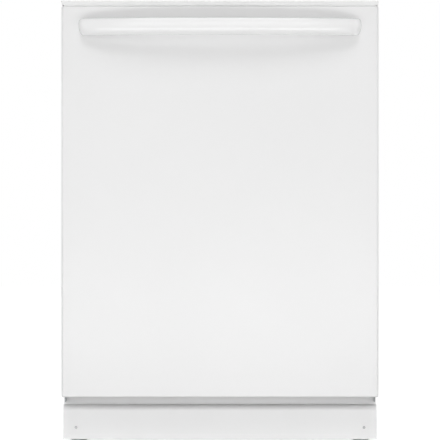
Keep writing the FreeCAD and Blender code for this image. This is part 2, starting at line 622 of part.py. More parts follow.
def sump():
    """Bowl under the tub floor with the spray arm's post in its middle."""
    bowl = revolved([(0, 56), (96, 56), (SUMP_R, 78), (SUMP_R, 131), (WELL_R + 2, 131), (WELL_R + 2, 135.7),
                     (SUMP_R - 3, 135.7), (SUMP_R - 3, 79), (94, 59), (POST_R, 59), (POST_R, 178), (0, 178)],
                    0, SUMP_Y)
    inlet = rod((SUMP_R - 10, SUMP_Y, PUMP_Z + 8), (SUMP_R + 4, SUMP_Y, PUMP_Z + 8), 14.0)
    return bowl.cut(inlet)


def filter_screen():
    """Flat perforated plate over the sump with a collar for the filter cup."""
    z = 124.0
    plate = revolved([(POST_R + 0.6, z), (SUMP_R - 3.5, z), (SUMP_R - 3.5, z + 4), (SUMP_R - 5, z + 4),
                      (SUMP_R - 5, z + 1.2), (POST_R + 0.6, z + 1.2)], 0, SUMP_Y)
    hole = rod((FILTER_X, FILTER_Y, z - 1), (FILTER_X, FILTER_Y, z + 6), FILTER_R + 0.6)
    return plate.cut(hole)


def filter_cup():
    """Twist-out cylinder: fine mesh wall, flange and finger grip."""
    body = revolved([(FILTER_R - 1.5, 84), (FILTER_R, 84), (FILTER_R, 126), (FILTER_R + 4, 126),
                     (FILTER_R + 4, 129), (FILTER_R - 1.5, 129)], FILTER_X, FILTER_Y)
    bottom = rod((FILTER_X, FILTER_Y, 82), (FILTER_X, FILTER_Y, 84), FILTER_R)
    bridge = box(FILTER_X - FILTER_R + 1, FILTER_X + FILTER_R - 1, FILTER_Y - 3, FILTER_Y + 3, 122, 140)
    return fuse([body, bottom, bridge])


def wash_motor():
    """Volute and motor can on the sump's right side, with cooling ribs."""
    axis = (SUMP_Y, PUMP_Z)
    x0, x1, x2 = SUMP_R + 0.3, 152.0, 246.0
    volute = rod((x0, *axis), (x1, *axis), 42.0).cut(rod((x0 - 1, *axis), (x1 - 3, *axis), 37.0))
    motor = rod((x1, *axis), (x2, *axis), 38.0)
    ribs = [rod((x, *axis), (x + 3, *axis), 41.0) for x in (170, 182, 194, 206, 218)]
    stay = box(x1 + 10, x1 + 30, SUMP_Y - 24, SUMP_Y + 24, PUMP_Z + 20, TUB_FLOOR - DISH_DROP + 5)
    shaft_hole = rod((x1 - 4, *axis), (x1 + 12, *axis), 4.2)
    return cut(fuse([volute, motor, stay, *ribs]), shaft_hole)


def wash_impeller():
    """Eight straight vanes on a hub and shaft."""
    axis = (SUMP_Y, PUMP_Z)
    hub = rod((126, *axis), (146, *axis), 10.0)
    shaft = rod((146, *axis), (162, *axis), 4.0)
    disc = rod((142, *axis), (145, *axis), 32.0)
    vane = box(128, 142, SUMP_Y - 1.2, SUMP_Y + 1.2, PUMP_Z + 8, PUMP_Z + 31)
    vanes = [vane.rotated(Vector(0, *axis), Vector(1, 0, 0), 45 * i) for i in range(8)]
    return fuse([hub, shaft, disc, *vanes])


def drain_pump():
    """Small pump on the sump's left with its outlet spigot."""
    x0 = -SUMP_R - 0.3
    chamber = rod((x0, SUMP_Y, 82), (x0 - 22, SUMP_Y, 82), 27.0)
    coil = box(x0 - 62, x0 - 22, SUMP_Y - 20, SUMP_Y + 20, 62, 102)
    spigot = rod((x0 - 11, SUMP_Y, 82), (x0 - 11, SUMP_Y + 52, 82), 7.0)
    return fuse([chamber, coil, spigot])


HOSE_R = 8.5


def drain_hose():
    """From the drain pump, up the left side in a high loop, and out through the base's back."""
    x0 = -SUMP_R - 11.3
    side = -TUB_HALF - 10.0
    points = [(x0, SUMP_Y + 52.2, 82), (x0, 150, 82), (x0 - 51, 208, 82), (side, 198, 124), (side, 182, 520),
              (side, 238, 520), (side, 232, 136), (side + 34, 246, 108), (DRAIN_X, 268, DRAIN_Z),
              (DRAIN_X, Y_REAR - 28, DRAIN_Z)]
    return swept(points, 26.0, HOSE_R)


def drain_outlet():
    """Spigot through the base's back for the house drain line."""
    y = Y_REAR - 27.8
    collar = rod((DRAIN_X, y, DRAIN_Z), (DRAIN_X, y + 4, DRAIN_Z), 12.0)
    return fuse([collar, rod((DRAIN_X, y, DRAIN_Z), (DRAIN_X, Y_REAR, DRAIN_Z), 9.5)])


VALVE_X, VALVE_Z = -215.0, 60.0


def inlet_valve():
    """Solenoid valve with a threaded inlet facing the back and an outlet spigot on top."""
    x, z = VALVE_X, VALVE_Z
    body = box(x - 17, x + 17, -172, -138, z - 15, z + 17)
    coil = rod((x, -155, z + 17), (x, -155, z + 34), 13.0)
    inlet = rod((x, -138, z), (x, -120, z), 13.2)
    outlet = rod((x - 17, -155, z + 4), (x - 27, -155, z + 4), 5.0)
    bracket = box(x - 30, x + 30, -176, -172, z - 20, HANGER_Z)
    shelf = box(x - 30, x + 30, HANGER_Y, -172, HANGER_Z - 2, HANGER_Z)
    return fuse([body, coil, inlet, outlet, bracket, shelf])


def inlet_hose():
    """From the valve to the fill chute on the tub's left side."""
    x = VALVE_X - 27.2
    side = -TUB_HALF - 10.0
    points = [(x, -155, VALVE_Z + 4), (x - 22, -155, VALVE_Z + 4), (x - 22, -105, 80), (x + 8, -60, 112),
              (x + 8, 40, 112), (side, 92, 124), (side, 92, 299.8)]
    return swept(points, 20.0, 6.0)


def fill_chute():
    """Flat air-gap moulding on the tub's left wall."""
    x1 = -TUB_HALF - 1.0
    slab = box(x1 - 15, x1, *CHUTE_Y, 318, 500)
    slab = fillet(slab, 16.0, "x")
    neck = rod((x1 - 9, 92, 300), (x1 - 9, 92, 320), 6.5)
    return fuse([slab, neck])


HANGER_Y, HANGER_Z = RAIL_FRONT + 4.0, RAIL_Z1 - 30.0  # fixings under the front channel
JBOX_X, JBOX_Y, JBOX_Z = (196.0, 250.0), (-176.0, -122.0), (34.0, 64.0)
KNOCKOUT_R = 11.0


def junction_box():
    """Steel wiring box with a knockout in its back wall."""
    t = 1.5
    (x0, x1), (y0, y1), (z0, z1) = JBOX_X, JBOX_Y, JBOX_Z
    case = box(x0, x1, y0, y1, z0, z1).cut(box(x0 + t, x1 - t, y0 + t, y1 - t, z0 + t, z1 - t))
    mid_x, mid_z = (x0 + x1) / 2, (z0 + z1) / 2
    case = case.cut(rod((mid_x, y1 - t - 1, mid_z), (mid_x, y1 + 1, mid_z), KNOCKOUT_R))
    hanger = box(mid_x - 12, mid_x + 12, HANGER_Y, y0 + 12, z1, HANGER_Z)
    return fuse([case, hanger])


def heating_element():
    """Open ring of sheathed element with both ends turned down through the floor."""
    def ring(angle):
        return Vector(HEATER_RING * math.sin(angle), SUMP_Y + HEATER_RING * math.cos(angle), HEATER_Z)

    start, end, count = HEATER_GAP, 2 * math.pi - HEATER_GAP, 12
    step = (end - start) / count
    loop = []
    for i in range(count):
        a0 = start + i * step
        arc = Part.Arc(ring(a0), ring(a0 + step / 2), ring(a0 + step)).toShape()
        section = Part.Wire([Part.makeCircle(HEATER_R, ring(a0), arc.tangentAt(arc.FirstParameter))])
        loop.append(Part.Wire([arc]).makePipeShell([section], True, False))
    legs = [rod((x, y, 128), (x, y, HEATER_Z), HEATER_R) for x, y in HEATER_ENDS]
    feet = []
    for angle in (90, 180, 270):
        a = math.radians(angle)
        x, y = HEATER_RING * math.sin(a), SUMP_Y + HEATER_RING * math.cos(a)
        feet.append(box(x - 3, x + 3, y - 3, y + 3, TUB_FLOOR + SHEET + 0.2, HEATER_Z - HEATER_R))
    return [*loop, *legs, *feet]


def float_cap():
    """Inverted cup that lifts with the water level."""
    z0, z1 = TUB_FLOOR + SHEET + 1, 182
    return revolved([(19, z0), (22, z0), (22, z1 - 4), (18, z1), (0, z1), (0, z1 - 2.5), (19, z1 - 5)],
                    FLOAT_X, FLOAT_Y)


# ---------------------------------------------------------------- spray system
def spray_manifold():
    """Flat duct up the back wall and along the ceiling, with a docking port and the top nozzle."""
    y1 = TUB_BACK - SHEET
    y0 = y1 - 14.0
    z_top = TUB_TOP - SHEET - 2
    riser = box(-15, 15, y0, y1, TUB_FLOOR + SHEET + 0.4, z_top)
    ceiling = box(-15, 15, UPPER_ARM_Y + 12.2, y0, z_top - 12, z_top)
    foot = box(-12, 12, SUMP_Y + 98, y0, TUB_FLOOR + SHEET + 0.4, TUB_FLOOR + SHEET + 12)
    spout = box(-12, 12, SUMP_Y + 98, SUMP_Y + 112, 129, TUB_FLOOR + SHEET + 0.4)
    port = rod((0, y0 - 8, FEED_Z), (0, y0, FEED_Z), 16.0).cut(
        rod((0, y0 - 9, FEED_Z), (0, y0 + 2, FEED_Z), 10.5))
    rose = revolved([(0, z_top - 20), (12, z_top - 20), (44, z_top - 24), (44, z_top - 28), (0, z_top - 28)],
                    0, UPPER_ARM_Y)
    neck = rod((0, UPPER_ARM_Y, z_top - 20), (0, UPPER_ARM_Y, z_top), 12.0)
    return [riser, ceiling, foot, spout, port, rose, neck]


def spray_arm(x, y, z, length, root, tip, thick):
    """Two tapered blades with rounded tips, swept slightly, as a flat-bottomed body."""
    def blade(sign):
        side = Vector(sign, 0, 0)
        across = Vector(0, sign, 0)
        c = Vector(x, y, z)
        p = [c + across * root, c + side * (length - tip) + across * (tip + 4),
             c + side * length + across * 4, c + side * (length - tip) - across * (tip - 4), c - across * root]
        edges = [Part.LineSegment(p[0], p[1]).toShape(), Part.Arc(p[1], p[2], p[3]).toShape(),
                 Part.LineSegment(p[3], p[4]).toShape(), Part.LineSegment(p[4], p[0]).toShape()]
        return Part.Face(Part.Wire(edges)).extrude(Vector(0, 0, thick))

    return fuse([blade(1), blade(-1)])


def lower_spray_arm():
    z, r = LOWER_ARM_Z, POST_R + 0.4
    blades = spray_arm(0, SUMP_Y, z, LOWER_ARM_R, 27.0, 17.0, 11.0)
    hub = revolved([(0, z - 6), (30, z - 6), (33, z), (33, z + 11), (22, z + 18), (0, z + 18)], 0, SUMP_Y)
    bore = rod((0, SUMP_Y, z - 7), (0, SUMP_Y, 178.5), r)
    jets = [rod((s * x, SUMP_Y + s * 4, z + 8), (s * x, SUMP_Y + s * 4, z + 12), 2.2)
            for s in (-1, 1) for x in (70, 110, 150, 185, 215)]
    return cut(fuse([blades, hub]), bore, *jets)


def upper_spray_arm():
    z, y = UPPER_ARM_Z, UPPER_ARM_Y
    blades = spray_arm(0, y, z, UPPER_ARM_R, 23.0, 14.0, 10.0)
    hub = revolved([(0, z - 4), (22, z - 4), (26, z), (26, z + 10), (18, z + 15), (0, z + 15)], 0, y)
    bore = rod((0, y, z + 6), (0, y, z + 16), 8.4)
    jets = [rod((s * x, y + s * 4, z - 1), (s * x, y + s * 4, z + 4), 2.0)
            for s in (-1, 1) for x in (60, 95, 130, 160, 188)]
    return cut(fuse([blades, hub]), bore, *jets)


def rack_feed():
    """Tube under the upper rack from the docking port to the arm's spindle."""
    y_end = TUB_BACK - SHEET - 14.0 - 1.0
    tube = rod((0, UPPER_ARM_Y - 10, FEED_Z), (0, y_end, FEED_Z), 9.0)
    spindle = rod((0, UPPER_ARM_Y, UPPER_ARM_Z + 6.6), (0, UPPER_ARM_Y, FEED_Z), 8.0)
    clips = [box(-5, 5, y - 5, y + 5, FEED_Z, UPPER_Z0 - WIRE) for y in (60, 200)]
    return fuse([tube, spindle, *clips])


# ---------------------------------------------------------------- racks
def loop_of_wire(half, y0, y1, z, bend, radius):
    """A rounded rectangle of wire as straight runs and quarter bends."""
    pieces = [rod((-half + bend, y, z), (half - bend, y, z), radius) for y in (y0, y1)]
    pieces += [rod((x, y0 + bend, z), (x, y1 - bend, z), radius) for x in (-half, half)]
    corners = (((half, y0, z), (1, 0, 0), (0, 1, 0)), ((half, y1, z), (0, 1, 0), (-1, 0, 0)),
               ((-half, y1, z), (-1, 0, 0), (0, -1, 0)), ((-half, y0, z), (0, -1, 0), (1, 0, 0)))
    return pieces + [wire_bend(c, a, b, bend, radius) for c, a, b in corners]


def spaced(first, last, count):
    step = (last - first) / (count - 1)
    return [first + step * i for i in range(count)]


def hoops(half, y0, y1, z0, z1, xs, ys):
    """Basket wires: lengthwise hoops below, crosswise hoops resting on them."""
    w = WIRE
    gap = FRAME_WIRE + w
    pieces = []
    for x in xs:
        pieces.append(rod((x, y0 + gap + w, z0), (x, y1 - gap - w, z0), w))
        for y in (y0 + gap, y1 - gap):
            pieces.append(rod((x, y, z0 - w), (x, y, z1 + FRAME_WIRE), w))
    zc = z0 + 2 * w
    for y in ys:
        pieces.append(rod((-half + gap + w, y, zc), (half - gap - w, y, zc), w))
        for x in (-half + gap, half - gap):
            pieces.append(rod((x, y, zc - w), (x, y, z1 + FRAME_WIRE), w))
    return pieces


LOWER_XS = spaced(-216, 216, 9)
LOWER_YS = spaced(-150, 234, 9)
UPPER_XS = spaced(-210, 210, 9)
UPPER_YS = spaced(-150, 228, 8)
TINE_H = 78.0
BASKET_X, BASKET_Y, BASKET_Z = (146.0, 238.0), (-160.0, 60.0), (208.0, 322.0)


def wheel_bracket(y):
    """Axle pin and hanger from the lower rack's side wire to one wheel."""
    hanger = box(LOWER_HALF + FRAME_WIRE, LOWER_HALF + FRAME_WIRE + 3, y - 9, y + 9, WHEEL_Z - 8, LOWER_Z0 + 26)
    axle = rod((LOWER_HALF + FRAME_WIRE + 3, y, WHEEL_Z), (WHEEL_X1, y, WHEEL_Z), 3.0)
    return [hanger, axle]


def lower_rack():
    pieces = loop_of_wire(LOWER_HALF, LOWER_Y0, LOWER_Y1, LOWER_Z1, 32, FRAME_WIRE)
    pieces += loop_of_wire(LOWER_HALF, LOWER_Y0, LOWER_Y1, LOWER_Z0 + 24, 32, FRAME_WIRE)
    pieces += hoops(LOWER_HALF, LOWER_Y0, LOWER_Y1, LOWER_Z0, LOWER_Z1, LOWER_XS, LOWER_YS)
    base = LOWER_Z0 + 3 * WIRE
    for i, y in enumerate(LOWER_YS):
        for x in spaced(-198, 198, 12):
            beside_basket = x + 6 > BASKET_X[0] and y - 6 < BASKET_Y[1]
            if not beside_basket and 0 < i < 8:
                pieces.append(rod((x, y, base), (x, y, base + TINE_H), WIRE))
    for y in WHEEL_YS:
        pieces += both_sides(*wheel_bracket(y))
    return pieces


def wheel_pair(y):
    """Rack wheels left and right on one line, grooved tread."""
    def wheel(x0, x1):
        disc = rod((x0, y, WHEEL_Z), (x1, y, WHEEL_Z), WHEEL_R)
        return disc.cut([rod((x0 - 1, y, WHEEL_Z), (x1 + 1, y, WHEEL_Z), 3.05),
                         rod((x1 - 2, y, WHEEL_Z), (x1 + 1, y, WHEEL_Z), 12.0)])

    return both_sides(wheel(WHEEL_X0, WHEEL_X1))


def silverware_basket():
    """Plastic basket with four cells and a carrying bridge."""
    t = 2.0
    (x0, x1), (y0, y1), (z0, z1) = BASKET_X, BASKET_Y, BASKET_Z
    basket = box(x0, x1, y0, y1, z0, z1)
    cells = []
    pitch = (y1 - y0 - t) / 4
    for i in range(4):
        cells.append(box(x0 + t, x1 - t, y0 + t + i * pitch, y0 + (i + 1) * pitch, z0 + t, z1 + 1))
    basket = basket.cut(cells)
    mid = (x0 + x1) / 2
    y_mid = y0 + t / 2 + 2 * pitch
    bridge = box(mid - 30, mid + 30, y_mid - 3, y_mid + 3, z1, z1 + 52)
    grip = box(mid - 20, mid + 20, y_mid - 4, y_mid + 4, z1 + 12, z1 + 40)
    return fuse([basket, bridge.cut(grip)])


def upper_rack():
    pieces = loop_of_wire(UPPER_HALF, UPPER_Y0, UPPER_Y1, UPPER_Z1, 32, FRAME_WIRE)
    pieces += loop_of_wire(UPPER_HALF, UPPER_Y0, UPPER_Y1, UPPER_Z0 + 24, 32, FRAME_WIRE)
    pieces += hoops(UPPER_HALF, UPPER_Y0, UPPER_Y1, UPPER_Z0, UPPER_Z1, UPPER_XS, UPPER_YS)
    base = UPPER_Z0 + 3 * WIRE
    for y in UPPER_YS[1:-1]:
        for x in (-78, -26, 26, 78):
            pieces.append(rod((x, y, base), (x, y, base + 56), WIRE))
    return pieces


RAIL_BOX = (261.0, 275.0, 518.0, 548.0)
ROLLER_R = 12.5
ROLLER_YS = (64.0, 226.0)


def upper_rack_rollers():
    """Rollers on the rack's sides that run inside the slide rails."""
    z = (RAIL_BOX[2] + RAIL_BOX[3]) / 2
    rollers = []
    for y in ROLLER_YS:
        plate = box(UPPER_HALF + FRAME_WIRE, UPPER_HALF + FRAME_WIRE + 3, y - 14, y + 14, z - 22, z + 22)
        stub = rod((UPPER_HALF + FRAME_WIRE + 3, y, z), (RAIL_BOX[0] + 1, y, z), 5.0)
        disc = rod((RAIL_BOX[0] + 1, y, z), (RAIL_BOX[1] - 3, y, z), ROLLER_R)
        rollers.append(fuse([plate, stub, disc]))
    return both_sides(*rollers)


def slide_rail():
    """Channel between the tub's guides and the rack's rollers."""
    x0, x1, z0, z1 = RAIL_BOX
    t = 1.5
    rail = box(x0, x1, -205, 285, z0, z1)
    return rail.cut(box(x0 - 1, x1 - t, -206, 286, z0 + t, z1 - t))


def rail_guides():
    """Hooked guides on the tub wall that carry each slide rail."""
    x0, x1, z0, z1 = RAIL_BOX
    guides = []
    for y in (-180.0, -60.0):
        block = box(x1 + 0.4, TUB_HALF - SHEET - 0.2, y, y + 26, z0 - 8, z1 + 8)
        upper = box(x0 + 4, x1 + 0.4, y, y + 26, z1 + 0.4, z1 + 8)
        lower = box(x0 + 4, x1 + 0.4, y, y + 26, z0 - 8, z0 - 0.4)
        guides += [block, upper, lower]
    return both_sides(*guides)


SHELF_X0, SHELF_X1 = 140.0, UPPER_HALF - 12.0
SHELF_Z = 545.0


def cup_shelf():
    """Fold-up wire shelf for cups on the right: side rails and cross wires, hinged at the rack wall."""
    y0, y1 = -120.0, 180.0
    pieces = [rod((SHELF_X1, y0, SHELF_Z), (SHELF_X1, y1, SHELF_Z), FRAME_WIRE),
              rod((SHELF_X0, y0, SHELF_Z), (SHELF_X0, y1, SHELF_Z), FRAME_WIRE)]
    for y in spaced(y0 + 6, y1 - 6, 7):
        pieces.append(rod((SHELF_X0 + FRAME_WIRE, y, SHELF_Z), (SHELF_X1 - FRAME_WIRE, y, SHELF_Z), WIRE))
    return pieces


# ---------------------------------------------------------------- door balance
SPRING_Y0, SPRING_Y1 = -110.0, 30.0


def door_spring():
    """Compression spring envelope on the draw rod."""
    tube = rod((SPRING_X, SPRING_Y0, SPRING_Z), (SPRING_X, SPRING_Y1, SPRING_Z), 7.5)
    return tube.cut(rod((SPRING_X, SPRING_Y0 - 1, SPRING_Z), (SPRING_X, SPRING_Y1 + 1, SPRING_Z), 5.0))


def spring_link():
    """Draw rod: slotted plate over the hinge arm's stud, rod through the spring, end washer."""
    x0, x1 = 285.4, 289.4
    y_stud, z_stud = STUD
    plate = box(x0, x1, y_stud - 6.5, SPRING_Y0 - 14, HINGE_Z + 12.5, HINGE_Z + 33)
    slot = box(x0 - 1, x1 + 1, y_stud - 4.2, y_stud + 4.2, z_stud - 3.8, HINGE_Z + SPRING_ARM + 3.8)
    foot = box(x0, SPRING_X + 3, SPRING_Y0 - 22, SPRING_Y0 - 14, HINGE_Z + 12.5, HINGE_Z + 31)
    draw = rod((SPRING_X, SPRING_Y0 - 14, SPRING_Z), (SPRING_X, SPRING_Y1 + 4, SPRING_Z), 3.0)
    washer = rod((SPRING_X, SPRING_Y1 + 0.3, SPRING_Z), (SPRING_X, SPRING_Y1 + 4, SPRING_Z), 7.5)
    return cut(fuse([plate, foot, draw, washer]), slot)


def spring_stop():
    """Fixed abutment on the base rail in front of the spring."""
    y = SPRING_Y0 - 0.3
    stop = box(284.5, RAIL_OUT, y - 3, y, RAIL_Z1, SPRING_Z + 8)
    return stop.cut(rod((SPRING_X, y - 4, SPRING_Z), (SPRING_X, y + 1, SPRING_Z), 4.0))


# ---------------------------------------------------------------- build
def build_door():
    save("door_outer_panel", door_outer_panel())
    save("door_inner_panel", door_inner_panel())
    save("console_shell", console_shell())
    for name, x in zip(BUTTON_NAMES, BUTTON_XS):
        save(name, console_button(x))
    save("console_display_lens", console_display_lens())
    save("control_board", control_board())
    save("latch_housing", latch_housing(), latch_pin())
    save("latch_hook", latch_hook())
    save("handle_bar", handle_bar())
    save("door_screws", *door_screws())
    save("dispenser_body", dispenser_body())
    save("dispenser_lid", dispenser_lid())
    save("rinse_aid_cap", rinse_aid_cap())
    save("vent_housing", vent_housing())
    save("hinge_arms", *both_sides(hinge_arm()))
    save("door_bottom_seal", door_bottom_seal())


def build_base():
    save("base_frame", *base_frame(), *both_sides(spring_stop()))
    save("levelling_leg_front_left", levelling_leg(-LEG_X, LEG_YS[0]))
    save("levelling_leg_front_right", levelling_leg(LEG_X, LEG_YS[0]))
    save("levelling_legs_rear", levelling_leg(-LEG_X, LEG_YS[1]), levelling_leg(LEG_X, LEG_YS[1]))
    save("hinge_brackets", *both_sides(hinge_bracket()))
    save("toe_kick", toe_kick())
    save("toe_kick_screws", *both_sides(toe_kick_screw()))
    save("access_panel", access_panel())
    save("door_springs", *both_sides(door_spring()))
    save("spring_links", *both_sides(spring_link()))


def build_tub():
    save("tub_shell", *tub_shell())
    save("tub_floor", tub_floor())
    save("tub_gasket", *tub_gasket())
    save("insulation_blanket", *insulation_blanket())
    save("mounting_brackets", *both_sides(mounting_bracket()))
    save("latch_strike", latch_strike())


def build_works():
    save("sump", sump())
    save("filter_screen", filter_screen())
    save("filter_cup", filter_cup())
    save("wash_motor", wash_motor())
    save("wash_impeller", wash_impeller())
    save("drain_pump", drain_pump())
    save("drain_hose", drain_hose(), drain_outlet())
    save("inlet_valve", inlet_valve())
    save("fill_chute", fill_chute(), inlet_hose())
    save("junction_box", junction_box())
    save("heating_element", *heating_element())
    save("float_cap", float_cap())
    save("spray_manifold", *spray_manifold())
    save("lower_spray_arm", lower_spray_arm())
    save("upper_spray_arm", upper_spray_arm())


def build_racks():
    save("lower_rack", *lower_rack())
    save("lower_rack_wheels_front", *wheel_pair(WHEEL_YS[0]))
    save("lower_rack_wheels_rear", *wheel_pair(WHEEL_YS[1]))
    save("silverware_basket", silverware_basket())
    save("upper_rack", *upper_rack())
    save("upper_rack_fittings", rack_feed(), *upper_rack_rollers())
    save("upper_slide_rails", *both_sides(slide_rail()))
    save("rail_guides", *rail_guides())
    save("cup_shelf_right", *cup_shelf())
    save("cup_shelf_left", *(mirrored(s) for s in cup_shelf()))


os.makedirs("parts", exist_ok=True)
build_door()
build_base()
build_tub()
build_works()
build_racks()
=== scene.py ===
"""Built-in dishwasher: a white front with a bowed handle around a steel tub, two racks and the works below.

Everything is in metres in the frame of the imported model: X right, the door faces -Y, Z up.
Numbers written as mm(...) are millimetres in that same frame.
"""

import json
import math

import bmesh
import bpy
from bpy.props import FloatProperty, FloatVectorProperty, IntProperty, PointerProperty
from mathutils import Matrix, Vector


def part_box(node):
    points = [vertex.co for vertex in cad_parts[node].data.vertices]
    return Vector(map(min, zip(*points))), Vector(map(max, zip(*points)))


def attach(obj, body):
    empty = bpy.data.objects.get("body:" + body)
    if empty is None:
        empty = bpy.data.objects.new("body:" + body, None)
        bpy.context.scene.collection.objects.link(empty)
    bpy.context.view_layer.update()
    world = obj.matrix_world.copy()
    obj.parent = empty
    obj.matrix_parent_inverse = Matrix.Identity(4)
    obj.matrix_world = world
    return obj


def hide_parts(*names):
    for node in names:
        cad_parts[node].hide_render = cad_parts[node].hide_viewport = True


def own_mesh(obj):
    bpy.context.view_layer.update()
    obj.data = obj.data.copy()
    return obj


bl_info = {
    "name": "Built-in Dishwasher",
    "version": (1, 0, 0),
    "blender": (4, 5, 0),
    "location": "View3D > Sidebar > Dishwasher",
    "description": "Builds a white built-in dishwasher around its packed frame",
    "category": "Object",
}

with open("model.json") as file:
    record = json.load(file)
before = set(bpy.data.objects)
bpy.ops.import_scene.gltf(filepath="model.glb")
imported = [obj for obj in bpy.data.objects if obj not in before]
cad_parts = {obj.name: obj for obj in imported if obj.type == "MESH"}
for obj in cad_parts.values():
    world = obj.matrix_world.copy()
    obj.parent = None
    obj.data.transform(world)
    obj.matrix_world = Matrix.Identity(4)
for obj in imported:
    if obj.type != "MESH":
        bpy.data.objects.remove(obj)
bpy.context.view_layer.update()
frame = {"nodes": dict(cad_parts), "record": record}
NODES = frame["nodes"]
BODY_OF = {n: b for b, ns in frame["record"]["behaviour"]["bodies"].items() for n in ns}
SLOT_OF = {s["node"]: s["material_slot"] for s in frame["record"]["subparts"]}
MM = 0.001
SHARP = 32  # degrees: an edge bent by more than this stays crisp

SKIN_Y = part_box("door_outer_panel")[0].y
LINER_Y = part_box("door_inner_panel")[1].y
FLANGE_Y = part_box("tub_shell")[0].y
FLOOR_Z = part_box("tub_shell")[0].z


def mm(x, y, z):
    return Vector((x, y, z)) * MM


# ---------------------------------------------------------------- finishes
class NodeChain:
    """Small wrapper that adds nodes to one material and links them."""

    def __init__(self, name):
        self.material = bpy.data.materials.new(name)
        self.material.use_nodes = True
        self.tree = self.material.node_tree
        self.shader = self.tree.nodes["Principled BSDF"]
        self.coords = self.add("ShaderNodeTexCoord").outputs["Object"]

    def add(self, kind, **settings):
        node = self.tree.nodes.new(kind)
        for key, value in settings.items():
            setattr(node, key, value)
        return node

    def link(self, source, target):
        self.tree.links.new(source, target)

    def mapped(self, scale=(1, 1, 1)):
        node = self.add("ShaderNodeMapping")
        node.inputs["Scale"].default_value = scale
        self.link(self.coords, node.inputs["Vector"])
        return node.outputs["Vector"]

    def noise(self, scale, detail=3.0, stretch=(1, 1, 1), rough=0.5):
        node = self.add("ShaderNodeTexNoise")
        for key, number in (("Scale", scale), ("Detail", detail), ("Roughness", rough)):
            node.inputs[key].default_value = number
        self.link(self.mapped(stretch), node.inputs["Vector"])
        return node.outputs["Fac"]

    def cells(self, scale, randomness=1.0):
        node = self.add("ShaderNodeTexVoronoi")
        node.inputs["Scale"].default_value = scale
        node.inputs["Randomness"].default_value = randomness
        self.link(self.mapped(), node.inputs["Vector"])
        return node.outputs

    def spread(self, value, low, high, start=0.3, end=0.7):
        node = self.add("ShaderNodeMapRange")
        for key, number in (("From Min", start), ("From Max", end), ("To Min", low), ("To Max", high)):
            node.inputs[key].default_value = number
        self.link(value, node.inputs["Value"])
        return node.outputs["Result"]

    def tint(self, factor, first, second):
        node = self.add("ShaderNodeMix", data_type="RGBA")
        node.inputs["A"].default_value = (*first, 1)
        node.inputs["B"].default_value = (*second, 1)
        self.link(factor, node.inputs["Factor"])
        return node.outputs["Result"]

    def bump(self, height, strength, distance, under=None):
        node = self.add("ShaderNodeBump")
        node.inputs["Strength"].default_value = strength
        node.inputs["Distance"].default_value = distance
        self.link(height, node.inputs["Height"])
        if under is not None:
            self.link(under, node.inputs["Normal"])
        return node.outputs["Normal"]

    def colour_from(self, source):
        self.link(source, self.shader.inputs["Base Color"])

    def rough_from(self, source):
        self.link(source, self.shader.inputs["Roughness"])

    def normal_from(self, source):
        self.link(source, self.shader.inputs["Normal"])

    def plain(self, **values):
        for key, value in values.items():
            self.shader.inputs[key.replace("_", " ").title().replace("Ior", "IOR")].default_value = value


def shade(colour, factor):
    return tuple(min(1.0, c * factor) for c in colour)


def enamel(name, colour, rough, coat=0.15, coat_rough=0.25):
    """Baked enamel: faint orange peel under a clear gloss."""
    m = NodeChain(name)
    drift = m.noise(3.0, 2.0)
    m.colour_from(m.tint(m.spread(drift, 0, 1), shade(colour, 0.99), shade(colour, 1.01)))
    m.rough_from(m.spread(m.noise(40.0, 2.0), rough * 0.9, rough * 1.12))
    peel = m.bump(m.noise(420.0, 2.0), 0.05, 0.0004)
    m.normal_from(m.bump(drift, 0.05, 0.002, peel))
    m.plain(coat_weight=coat, coat_roughness=coat_rough)
    return m.material


def grained(name, low, high, patches, gloss, grain, **values):
    """Soft patches between two tones, a drifting gloss and a fine grain.

    patches: scale, detail and edges of the tone's noise. gloss: scale and detail of its noise, and the
    roughness at both ends. grain: scale and detail of its noise, and the bump's strength and depth.
    """
    m = NodeChain(name)
    scale, detail, start, end = patches
    m.colour_from(m.tint(m.spread(m.noise(scale, detail), 0, 1, start, end), low, high))
    scale, detail, least, most = gloss
    m.rough_from(m.spread(m.noise(scale, detail), least, min(1.0, most)))
    scale, detail, strength, depth = grain
    m.normal_from(m.bump(m.noise(scale, detail), strength, depth))
    m.plain(**values)
    return m.material


def moulded(name, colour, rough, grain=0.12, drift=0.05):
    """Moulded plastic: fine spark-eroded grain and slight flow variation."""
    return grained(name, shade(colour, 1 - drift), shade(colour, 1 + drift), (14.0, 3.0, 0.3, 0.7),
                   (120.0, 2.0, rough * 0.85, rough * 1.15), (1500.0, 2.0, grain, 0.0003),
                   specular_ior_level=0.4)


def polished(name, colour, rough):
    """Plated or drawn metal: tiny scratches that break up its gloss."""
    return grained(name, shade(colour, 0.9), shade(colour, 1.05), (150.0, 3.0, 0.3, 0.7),
                   (1800.0, 3.0, rough * 0.7, rough * 1.4), (1800.0, 3.0, 0.05, 0.0001), metallic=1.0)


def rubber(name, colour, rough):
    """Matt rubber with a little pale dust."""
    return grained(name, colour, shade(colour, 1.7), (90.0, 5.0, 0.45, 0.8),
                   (260.0, 3.0, rough * 0.85, rough * 1.1), (900.0, 3.0, 0.2, 0.0003),
                   specular_ior_level=0.3)


def heat_tinted(name, colour, rough):
    """Steel sheath browned in bands by its own heat."""
    return grained(name, (0.30, 0.24, 0.19), colour, (22.0, 3.0, 0.3, 0.7),
                   (250.0, 3.0, rough * 0.8, rough * 1.3), (800.0, 3.0, 0.1, 0.0002), metallic=1.0)


